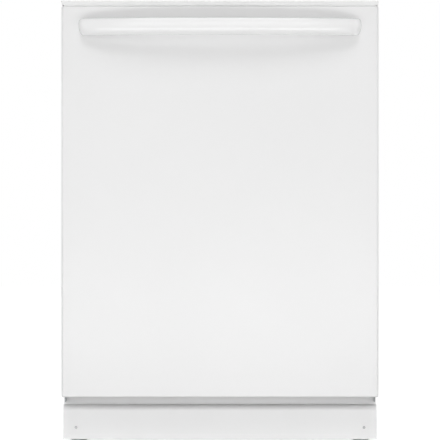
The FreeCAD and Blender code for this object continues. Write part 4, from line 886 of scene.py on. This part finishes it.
class DISHWASHER_OT_jacket(bpy.types.Operator):
    """Add the quilted sound jacket"""

    bl_idname = "dishwasher.add_jacket"
    bl_label = "Sound jacket"

    def execute(self, context):
        size = settings("jacket")
        low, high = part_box("insulation_blanket")
        skin = 4.2 * MM
        radius = 33 * MM
        cell = 8 * MM

        def pillow(u, v):
            a = abs(math.sin(math.pi * u / size.pitch)) ** 0.45
            b = abs(math.sin(math.pi * v / size.pitch)) ** 0.45
            wave = 0.12 * math.sin(37 * u + 11 * v) * math.sin(23 * v - 9 * u)
            return size.loft * a * b * (1 + wave)

        def stitch_and_crease_shade(height):
            """How near a point is to a stitch line: the mask for the painted shade along the quilting
            creases, for the felt's finish.
            """
            return max(0.0, 1 - height / size.loft * 1.25)

        half = high.x - size.loft + 0.5 * MM
        top = high.z - size.loft
        side = top - radius - low.z
        flat = 2 * (half - radius)
        arc = math.pi / 2 * radius
        length = 2 * side + 2 * arc + flat
        depth = high.y - 7 * MM - low.y

        def wrapped(u):
            """Point and outward direction at a distance round the tub from the left foot."""
            if u > length / 2:
                (x, z), (nx, nz) = wrapped(length - u)
                return (-x, z), (-nx, nz)
            if u < side:
                return (-half, low.z + u), (-1, 0)
            if u < side + arc:
                a = (u - side) / radius
                return (-half + radius * (1 - math.cos(a)), top - radius * (1 - math.sin(a))), (
                    -math.cos(a), math.sin(a))
            return (-half + radius + u - side - arc, top), (0, 1)

        bm = bmesh.new()
        seam = bm.verts.layers.float.new("seam")
        made = bmesh.ops.create_grid(bm, x_segments=int(length / cell), y_segments=int(depth / cell),
                                     size=0.5)["verts"]
        # the wrap is cut away for the fill chute
        window_front, window_back, window_top = 28 * MM, 252 * MM, 556 * MM
        doomed = []
        for v in made:
            u, w = (v.co.x + 0.5) * length, (v.co.y + 0.5) * depth
            y = low.y + w
            if u < window_top - low.z and window_front < y < window_back:
                doomed.append(v)
            (x, z), (nx, nz) = wrapped(u)
            p = pillow(u, w)
            v.co = Vector((x + nx * p, y, z + nz * p))
            v[seam] = stitch_and_crease_shade(p)
        bmesh.ops.delete(bm, geom=doomed, context="VERTS")
        panel = add_piece("sound_jacket_wrap", bm, "cabinet", "felt", ("insulation_blanket",), smooth=80)
        thickened(panel, skin)

        bm = bmesh.new()
        seam = bm.verts.layers.float.new("seam")
        wide, tall = 2 * (half - 2 * MM), top - 2 * MM - low.z
        made = bmesh.ops.create_grid(bm, x_segments=int(wide / cell), y_segments=int(tall / cell),
                                     size=0.5)["verts"]
        back_y = high.y - size.loft
        corner = radius - 2 * MM
        cx, cz = wide / 2 - corner, low.z + tall - corner
        for v in made:
            u, w = (v.co.x + 0.5) * wide, (v.co.y + 0.5) * tall
            p = pillow(u + 0.02, w)
            x, z = -wide / 2 + u, low.z + w
            if abs(x) > cx and z > cz:  # the grid's square corner is drawn in to a round one
                dx, dz = abs(x) - cx, z - cz
                pull = max(dx, dz) / math.hypot(dx, dz)
                x, z = math.copysign(cx + dx * pull, x), cz + dz * pull
            v.co = Vector((x, back_y + p, z))
            v[seam] = stitch_and_crease_shade(p)
        panel = add_piece("sound_jacket_back", bm, "cabinet", "felt", smooth=80)
        thickened(panel, skin)
        return {"FINISHED"}


# ---------------------------------------------------------------- works below the tub
def chute_channels():
    """Raised walls of the water passages on the fill chute's face, and its vent."""
    face, bend, wall = -299.0, 9 * MM, 1.3 * MM
    bm = bmesh.new()
    loops = (((46, 330), (134, 330), (134, 488), (46, 488)), ((58, 342), (80, 342), (80, 476), (58, 476)))
    for loop in loops:
        wire_run(bm, [mm(face, y, z) for y, z in loop], bend, wall, 10, closed=True)
    for y0, y1, z in ((80, 116, 372), (98, 134, 400), (80, 116, 428), (98, 134, 456)):
        wire_run(bm, [mm(face, y0, z), mm(face, y1, z)], bend, wall, 10)
    turned(bm, [(7, -1), (9.5, -1), (9, 1.4), (7.4, 1.4)], mm(face, 116, 350), (-1, 0, 0), 32)
    add_piece("fill_chute_channels", bm, "cabinet", "light_plastic", smooth=50)


def drain_hose():
    """Ribbed hose from the drain pump over its high loop to the outlet through the base's back."""
    route = [(-129.3, 82.2, 82), (-129.3, 105, 82), (-129.3, 150, 82), (-180.3, 208, 82), (-240, 203, 104),
             (-280, 199, 112), (-295, 198, 128), (-293, 193, 245), (-293, 184, 464), (-293, 182, 522),
             (-293, 238, 522), (-293, 237, 464), (-293, 233, 190), (-296, 232, 136), (-262, 245, 106),
             (-200, 266, 72), (-200, 284, 72), (-200, 305.2, 72)]
    bm = bmesh.new()
    ribbed_hose(bm, laid_line([mm(*p) for p in route], 2.2 * MM), 8.5 * MM, 0.16)
    y0, y1 = route[-1][1] * MM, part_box("drain_hose")[1].y
    x, _, z = mm(*route[-1])
    drum(bm, (x, y0, z), (x, y0 + 4 * MM, z), 12 * MM, 32, 0.6 * MM)
    drum(bm, (x, y0, z), (x, y1, z), 9.5 * MM, 32, 0.8 * MM)
    add_piece("drain_hose_ribbed", bm, "cabinet", "grey_rubber", ("drain_hose",), smooth=40)


def hose_clips():
    """Spring clips over the hose ends, each with two finger tabs."""
    bm = bmesh.new()
    for spot, axis, radius in (((-129.3, 90, 82), (0, 1, 0), 8.6), ((-200, 296, 72), (0, 1, 0), 8.6),
                               ((-247, -155, 64), (-1, 0, 0), 6.1), ((-293, 92, 290), (0, 0, 1), 6.1)):
        profile = [(radius, -3.5), (radius + 0.9, -3.5), (radius + 0.9, 3.5), (radius, 3.5)]
        place, along = mm(*spot), Vector(axis)
        turned(bm, profile, place, axis, 32)
        out = facing(axis) @ Vector((0, 1, 0))
        for side in (-1, 1):
            root = place + along * side * 1.6 * MM + out * (radius + 0.4) * MM
            drum(bm, root, root + out * 3.2 * MM + along * side * 0.8 * MM, 1.1 * MM, 10, 0.0002)
    add_piece("hose_clips", bm, "cabinet", "screw_steel")


def heater_ring():
    """Sheathed ring with both ends turned down through the floor, on three feet."""
    low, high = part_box("heating_element")
    r, ring_r, cy = 4 * MM, 190 * MM, 30 * MM
    z = high.z - r
    gap = math.radians(20)
    bm = bmesh.new()
    start = Vector((ring_r * math.sin(gap), cy + ring_r * math.cos(gap), z))
    place = Matrix.Translation(start) @ facing((math.cos(gap), -math.sin(gap), 0))
    made = bmesh.ops.create_circle(bm, cap_ends=False, segments=14, radius=r, matrix=place)["verts"]
    bmesh.ops.spin(bm, geom=edges_of(made), cent=(0, cy, z), axis=(0, 0, -1), dvec=(0, 0, 0),
                   angle=2 * math.pi - 2 * gap, steps=96, use_merge=False, use_duplicate=False)
    for side in (-1, 1):
        x = side * start.x
        drum(bm, (x, start.y, low.z), (x, start.y, z), r, 14)
        ball = bmesh.ops.create_uvsphere(bm, u_segments=14, v_segments=10, radius=r)["verts"]
        bmesh.ops.translate(bm, verts=ball, vec=(x, start.y, z))
    for angle in (90, 180, 270):
        a = math.radians(angle)
        x, y = ring_r * math.sin(a), cy + ring_r * math.cos(a)
        block(bm, (x - 3 * MM, y - 3 * MM, FLOOR_Z + 1.4 * MM), (x + 3 * MM, y + 3 * MM, z - 2 * MM), 0.0006)
    add_piece("heater_ring", bm, "cabinet", "element_steel", ("heating_element",), smooth=50)


class DISHWASHER_OT_works(bpy.types.Operator):
    """Add the sump, filters, pumps, valve, chute, wiring box and heater"""

    bl_idname = "dishwasher.add_works"
    bl_label = "Works"

    def execute(self, context):
        refined("sump", "sump_bowl", 0.0008, 2, smooth=40)
        refined("filter_screen", "filter_plate", 0.0003, finish="filter_mesh")
        refined("filter_cup", "filter_cylinder", 0.0005, 3)
        refined("wash_motor", "circulation_motor", 0.0006)
        refined("wash_impeller", "pump_impeller", 0.0003)
        refined("drain_pump", "drain_pump_unit", 0.0008, 3)
        refined("inlet_valve", "fill_valve", 0.0008, 3)
        refined("fill_chute", "fill_chute_and_hose", 0.0012, 3, smooth=45)
        refined("junction_box", "wiring_box", 0.0004)
        refined("float_cap", "level_float", 0.0008, 3, smooth=45)
        chute_channels()
        drain_hose()
        hose_clips()
        heater_ring()
        return {"FINISHED"}


def jet_collars(node, reaches, top, bore):
    """A raised collar round each nozzle of a spray arm."""
    low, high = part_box(node)
    y, z = (low.y + high.y) / 2, low.z + top * MM
    down = node.startswith("upper")
    bm = bmesh.new()
    profile = [(bore, -0.4), (bore + 2.2, -0.4), (bore + 1.8, 0.5), (bore + 0.9, 0.8), (bore, 0.6)]
    for reach in reaches:
        for side in (-1, 1):
            spot = (side * reach * MM, y + side * 4 * MM, low.z + 4 * MM if down else z)
            turned(bm, profile, spot, (0, 0, -1 if down else 1), 20)
    add_piece(node + "_jets", bm, BODY_OF[node], "light_plastic", finish="grey_plastic")


class DISHWASHER_OT_sprays(bpy.types.Operator):
    """Add the spray arms and the duct that feeds them"""

    bl_idname = "dishwasher.add_sprays"
    bl_label = "Spray system"

    def execute(self, context):
        refined("spray_manifold", "spray_duct", 0.0018, 3)
        refined("lower_spray_arm", "lower_arm", 0.0022, 4)
        refined("upper_spray_arm", "upper_arm", 0.0020, 4)
        jet_collars("lower_spray_arm", (70, 110, 150, 185, 215), 17, 2.2)
        jet_collars("upper_spray_arm", (60, 95, 130, 160, 188), 14, 2.0)
        return {"FINISHED"}


class DISHWASHER_OT_balance(bpy.types.Operator):
    """Add the door springs and their draw rods"""

    bl_idname = "dishwasher.add_balance"
    bl_label = "Door springs"

    def execute(self, context):
        low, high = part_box("door_springs")
        turns = settings("springs").coils
        steps = turns * 20
        wire = 1.25 * MM
        outer = (high.z - low.z) / 2
        coil = outer - wire
        x, z = high.x - outer, (low.z + high.z) / 2
        y0, y1 = low.y + wire, high.y - wire
        bm = bmesh.new()
        for side in (-1, 1):
            start = Vector((side * x, y0, z + coil))
            made = bmesh.ops.create_circle(bm, cap_ends=True, segments=8, radius=wire,
                                           matrix=Matrix.Translation(start) @ facing((1, 0, 0)))["verts"]
            last = bmesh.ops.spin(bm, geom=edges_of(made), cent=(side * x, y0, z), axis=(0, 1, 0),
                                  dvec=(0, (y1 - y0) / steps, 0), angle=2 * math.pi * turns, steps=steps,
                                  use_merge=False, use_duplicate=False)["geom_last"]
            bmesh.ops.contextual_create(bm, geom=[g for g in last if isinstance(g, bmesh.types.BMEdge)])
        springs = add_piece("door_coil_springs", bm, "cabinet", "spring_steel", ("door_springs",), smooth=60)
        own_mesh(springs)
        refined("spring_links", "spring_draw_links", 0.0003)
        return {"FINISHED"}


# ---------------------------------------------------------------- racks
def rack_loop(bm, half, y0, y1, z, bend, radius):
    """A closed frame wire at one height."""
    corners = [(-half, y0, z), (half, y0, z), (half, y1, z), (-half, y1, z)]
    wire_run(bm, [mm(*c) for c in corners], bend * MM, radius, 12, closed=True)


def rack_basket(bm, half, y0, y1, z0, z1, xs, ys, size):
    """Lengthwise U wires below, crosswise U wires resting on them."""
    w, rim = size.wire / MM, size.rim / MM
    gap = rim + w
    zc, top = z0 + 2 * w, z1 + rim
    for x in xs:
        route = [(x, y0 + gap, top), (x, y0 + gap, z0), (x, y1 - gap, z0), (x, y1 - gap, top)]
        wire_run(bm, [mm(*p) for p in route], size.bend, size.wire)
    for y in ys:
        route = [(-half + gap, y, top), (-half + gap, y, zc), (half - gap, y, zc), (half - gap, y, top)]
        wire_run(bm, [mm(*p) for p in route], size.bend, size.wire)


def rack_wheels(node):
    """A pair of wheels, each with a hub, a tyre and a ring of raised pips."""
    low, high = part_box(node)
    y, z = (low.y + high.y) / 2, (low.z + high.z) / 2
    bm = bmesh.new()
    hub_x, pip_ring, pip = 262, 9.4 * MM, 1.3 * MM
    profile = [(3.1, 0), (6, 0), (6.6, 0.8), (12, 0.8), (13, 0), (16.2, 0), (17, 0.8), (17, 10.2),
               (16.2, 11), (13, 11), (12, 9), (6.6, 9), (6, 11), (3.1, 11)]
    for side in (-1, 1):
        turned(bm, profile, (side * hub_x * MM, y, z), (side, 0, 0), 48)
        for i in range(6):
            a = math.radians(60 * i)
            py, pz = y + pip_ring * math.cos(a), z + pip_ring * math.sin(a)
            drum(bm, (side * (hub_x + 0.4) * MM, py, pz), (side * (hub_x + 10.4) * MM, py, pz), pip, 12)
    add_piece(node + "_tyres", bm, BODY_OF[node], SLOT_OF[node], (node,))


def cutlery_basket():
    """Moulded lattice basket with solid rims, cell walls and a carrying bridge."""
    low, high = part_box("silverware_basket")
    top = 322 * MM
    bm = bmesh.new()
    x0, x1, y0, y1, z0 = low.x + MM, high.x - MM, low.y + MM, high.y - MM, low.z + MM
    wide, deep, tall = Vector((x1 - x0, 0, 0)), Vector((0, y1 - y0, 0)), Vector((0, 0, top - 7 * MM - z0))
    lattices = [((x0, y, z0), wide, tall, 9, 10) for y in (y0, y1)]
    lattices += [((x, y0, z0), deep, tall, 20, 10) for x in (x0, x1)]
    lattices += [((x0, y0, z0), wide, deep, 9, 20)]
    lattices += [((x0, y0 + (y1 - y0) * i / 4, z0), wide, tall, 9, 10) for i in (1, 2, 3)]
    for corner, along, up, across, rows in lattices:
        for v in bmesh.ops.create_grid(bm, x_segments=across, y_segments=rows, size=0.5)["verts"]:
            v.co = Vector(corner) + along * (v.co.x + 0.5) + up * (v.co.y + 0.5)
    bmesh.ops.remove_doubles(bm, verts=bm.verts, dist=1e-5)
    mesh_part = add_piece("basket_lattice", bm, "basket", "grey_plastic", ("silverware_basket",))
    struts = mesh_part.modifiers.new("struts", "WIREFRAME")
    struts.thickness = 1.9 * MM
    struts.use_even_offset = False
    bm = bmesh.new()
    rim = 2 * MM
    for xa, xb, ya, yb in ((low.x, high.x, low.y, low.y + rim), (low.x, high.x, high.y - rim, high.y),
                           (low.x, low.x + rim, low.y, high.y), (high.x - rim, high.x, low.y, high.y)):
        block(bm, (xa, ya, top - 9 * MM), (xb, yb, top), 0.6 * MM)
    mid_x, mid_y = (low.x + high.x) / 2, (low.y + high.y) / 2
    block(bm, (low.x + MM, mid_y - 1.2 * MM, low.z + MM), (high.x - MM, mid_y + 1.2 * MM, top), 0.0006)
    grip = 3 * MM
    left, right = mid_x - 27 * MM, mid_x + 27 * MM
    foot_z, grip_z = top - 4 * MM, high.z - grip
    wire_run(bm, [(left, mid_y, foot_z), (left, mid_y, grip_z), (right, mid_y, grip_z),
                  (right, mid_y, foot_z)], 9 * MM, grip, 14)
    add_piece("basket_rim_and_handle", bm, "basket", "grey_plastic")


class DISHWASHER_OT_lower_rack(bpy.types.Operator):
    """Add the lower rack, its wheels and the cutlery basket"""

    bl_idname = "dishwasher.add_lower_rack"
    bl_label = "Lower rack"

    def execute(self, context):
        size = settings("racks")
        half, y0, y1, z0, z1 = 252, -183, 266, 202, 322
        xs, ys = spaced(-216, 216, 9), spaced(-150, 234, 9)
        bm = bmesh.new()
        rack_loop(bm, half, y0, y1, z1, 32, size.rim)
        rack_loop(bm, half, y0, y1, z0 + 24, 32, size.rim)
        rack_basket(bm, half, y0, y1, z0, z1, xs, ys, size)
        base = z0 + 3 * size.wire / MM
        for i, y in enumerate(ys):
            for x in spaced(-198, 198, 12):
                basket_stands_here = x + 6 > 146 and y - 6 < 60
                if 0 < i < len(ys) - 1 and not basket_stands_here:
                    domed_pin(bm, mm(x, y, base - 1), mm(x, y, base + 78), size.wire)
        for side in (-1, 1):
            for y in (-50, 200):
                inner, outer = sorted((side * 254.3, side * 257.5))
                block(bm, mm(inner, y - 9, 164.8), mm(outer, y + 9, 228), 0.0008)
                drum(bm, mm(side * 257, y, 172.8), mm(side * 273, y, 172.8), 3 * MM, 20, 0.0005)
        add_piece("lower_rack_wires", bm, "rack_lower", "rack_nylon", ("lower_rack",), smooth=50)
        for node in ("lower_rack_wheels_front", "lower_rack_wheels_rear"):
            rack_wheels(node)
        cutlery_basket()
        return {"FINISHED"}


def cup_shelf(node, side, size):
    """A folding shelf: a rim wire with crosswise wires."""
    bm = bmesh.new()
    x0, x1, y0, y1, z = 140, 236, -120, 180, 545
    corners = [(side * x0, y0, z), (side * x1, y0, z), (side * x1, y1, z), (side * x0, y1, z)]
    wire_run(bm, [mm(*c) for c in corners], 12 * MM, size.rim, 12, closed=True)
    for y in spaced(y0 + 24, y1 - 24, 6):
        wire_run(bm, [mm(side * x0, y, z), mm(side * x1, y, z)], size.bend, size.wire)
    add_piece(node + "_wires", bm, BODY_OF[node], "rack_nylon", (node,), smooth=50)


class DISHWASHER_OT_upper_rack(bpy.types.Operator):
    """Add the upper rack with its rails, rollers, feed tube and folding shelves"""

    bl_idname = "dishwasher.add_upper_rack"
    bl_label = "Upper rack"

    def execute(self, context):
        size = settings("racks")
        half, y0, y1, z0, z1 = 248, -185, 262, 472, 592
        xs, ys = spaced(-210, 210, 9), spaced(-150, 228, 8)
        bm = bmesh.new()
        rack_loop(bm, half, y0, y1, z1, 32, size.rim)
        rack_loop(bm, half, y0, y1, z0 + 24, 32, size.rim)
        rack_basket(bm, half, y0, y1, z0, z1, xs, ys, size)
        base = z0 + 3 * size.wire / MM
        for y in ys[1:-1]:
            for x in (-78, -26, 26, 78):
                domed_pin(bm, mm(x, y, base - 1), mm(x, y, base + 56), size.wire)
        add_piece("upper_rack_wires", bm, "rack_upper", "rack_nylon", ("upper_rack",), smooth=50)
        refined("upper_rack_fittings", "feed_tube_and_rollers", 0.0006, 3)
        refined("upper_slide_rails", "slide_rail_channels", 0.0003)
        for node, side in (("cup_shelf_right", 1), ("cup_shelf_left", -1)):
            cup_shelf(node, side, size)
        return {"FINISHED"}


# ---------------------------------------------------------------- stage
def studio_floor():
    """A wide pale floor that the camera sees as white, like the background behind it."""
    bm = bmesh.new()
    bmesh.ops.create_grid(bm, x_segments=1, y_segments=1, size=12)
    mesh = bpy.data.meshes.new("studio_floor")
    bm.to_mesh(mesh)
    bm.free()
    ground = bpy.data.objects.new("studio_floor", mesh)
    bpy.context.scene.collection.objects.link(ground)
    m = NodeChain("pale_floor")
    m.plain(roughness=0.9, specular_ior_level=0.0, base_color=(0.82, 0.82, 0.82, 1),
            emission_color=(1, 1, 1, 1))
    seen = m.add("ShaderNodeLightPath").outputs["Is Camera Ray"]
    m.link(m.spread(seen, 0.0, 0.80, 0, 1), m.shader.inputs["Emission Strength"])
    mesh.materials.append(m.material)


def studio_world(look):
    """White to the camera, bright in reflections, and an even soft light for everything else."""
    world = bpy.data.worlds.new("studio")
    world.use_nodes = True
    bpy.context.scene.world = world
    tree = world.node_tree
    tree.nodes.clear()
    coords, split, fade, lit, seen, path, mix, mirrored, out = (
        tree.nodes.new("ShaderNode" + kind) for kind in (
            "TexCoord", "SeparateXYZ", "MapRange", "Background", "Background", "LightPath", "MixShader",
            "Math", "OutputWorld"))
    for key, number in (("From Min", 0.0), ("From Max", 0.9), ("To Min", look.ambient * 1.06),
                        ("To Max", look.ambient * 0.85)):
        fade.inputs[key].default_value = number
    mirrored.operation = "MULTIPLY_ADD"
    mirrored.inputs[1].default_value = 0.62
    seen.inputs["Color"].default_value = (1, 1, 1, 1)
    lit.inputs["Color"].default_value = (1, 1, 1, 1)
    for source, target in ((coords.outputs["Generated"], split.inputs["Vector"]),
                           (split.outputs["Z"], fade.inputs["Value"]),
                           (fade.outputs["Result"], lit.inputs["Strength"]),
                           (path.outputs["Is Glossy Ray"], mirrored.inputs[0]),
                           (path.outputs["Is Camera Ray"], mirrored.inputs[2]),
                           (mirrored.outputs[0], mix.inputs["Fac"]),
                           (lit.outputs[0], mix.inputs[1]),
                           (seen.outputs[0], mix.inputs[2]),
                           (mix.outputs[0], out.inputs["Surface"])):
        tree.links.new(source, target)


def soft_light(name, spot, target, width, power, height=None):
    """A rectangular light that the camera doesn't see."""
    data = bpy.data.lights.new(name, "AREA")
    data.shape = "RECTANGLE"
    data.size, data.size_y = width, height or width
    data.energy = power
    lamp = bpy.data.objects.new(name, data)
    lamp.location = spot
    lamp.visible_camera = False
    aim = Vector(target) - Vector(spot)
    lamp.rotation_euler = aim.to_track_quat("-Z", "Y").to_euler()
    bpy.context.scene.collection.objects.link(lamp)


class DISHWASHER_OT_stage(bpy.types.Operator):
    """Add the floor, lights and camera"""

    bl_idname = "dishwasher.add_stage"
    bl_label = "Stage"

    def execute(self, context):
        look = settings("stage")
        studio_floor()
        studio_world(look)
        soft_light("front_wide", (0, SKIN_Y - 5.6, 0.6), (0, SKIN_Y, 0.45), 4.0, look.front)
        soft_light("front_low", (0, SKIN_Y - 1.4, 0.12), (0, SKIN_Y, 0.06), 2.4, look.low, 0.24)
        soft_light("key_above", (0, SKIN_Y - 3.6, 5.2), (0, SKIN_Y, 0.6), 2.8, look.key)
        for name, side in (("side_left", -1), ("side_right", 1)):
            soft_light(name, (2.2 * side, SKIN_Y - 0.3, 0.7), (0, SKIN_Y + 0.1, 0.45), 1.6, look.side)
        lens = bpy.data.cameras.new("front_camera")
        lens.lens = look.lens
        lens.sensor_width = 36.0
        lens.clip_end = 50
        camera = bpy.data.objects.new("front_camera", lens)
        camera.location = (0, SKIN_Y - look.distance, look.eye)
        camera.rotation_euler = (math.pi / 2, 0, 0)
        context.scene.collection.objects.link(camera)
        context.scene.camera = camera
        context.scene.view_settings.view_transform = "Standard"
        context.scene.view_settings.look = "None"
        return {"FINISHED"}


STEPS = (DISHWASHER_OT_finishes, DISHWASHER_OT_door, DISHWASHER_OT_handle, DISHWASHER_OT_console,
         DISHWASHER_OT_liner, DISHWASHER_OT_base, DISHWASHER_OT_tub, DISHWASHER_OT_jacket,
         DISHWASHER_OT_works, DISHWASHER_OT_sprays, DISHWASHER_OT_balance, DISHWASHER_OT_lower_rack,
         DISHWASHER_OT_upper_rack, DISHWASHER_OT_stage)


class DISHWASHER_PT_builder(bpy.types.Panel):
    """Lists the sizes and the steps that build the dishwasher."""

    bl_label = "Dishwasher"
    bl_idname = "DISHWASHER_PT_builder"
    bl_space_type = "VIEW_3D"
    bl_region_type = "UI"
    bl_category = "Dishwasher"

    def draw(self, context):
        for name in SETTINGS:
            group = settings(name)
            column = self.layout.box().column()
            column.label(text=name.title())
            for prop in group.__annotations__:
                column.prop(group, prop)
        for step in STEPS:
            self.layout.operator(step.bl_idname)


def register():
    for cls in (*SETTINGS.values(), *STEPS, DISHWASHER_PT_builder):
        bpy.utils.register_class(cls)
    for name, group in SETTINGS.items():
        setattr(bpy.types.Scene, "dishwasher_" + name, PointerProperty(type=group))


def unregister():
    for name in SETTINGS:
        delattr(bpy.types.Scene, "dishwasher_" + name)
    for cls in reversed((*SETTINGS.values(), *STEPS, DISHWASHER_PT_builder)):
        bpy.utils.unregister_class(cls)


def main():
    register()
    for step in STEPS:
        group, name = step.bl_idname.split(".")
        if getattr(getattr(bpy.ops, group), name)() != {"FINISHED"}:
            raise RuntimeError(step.bl_label + " didn't finish")


if __name__ == "__main__":
    main()
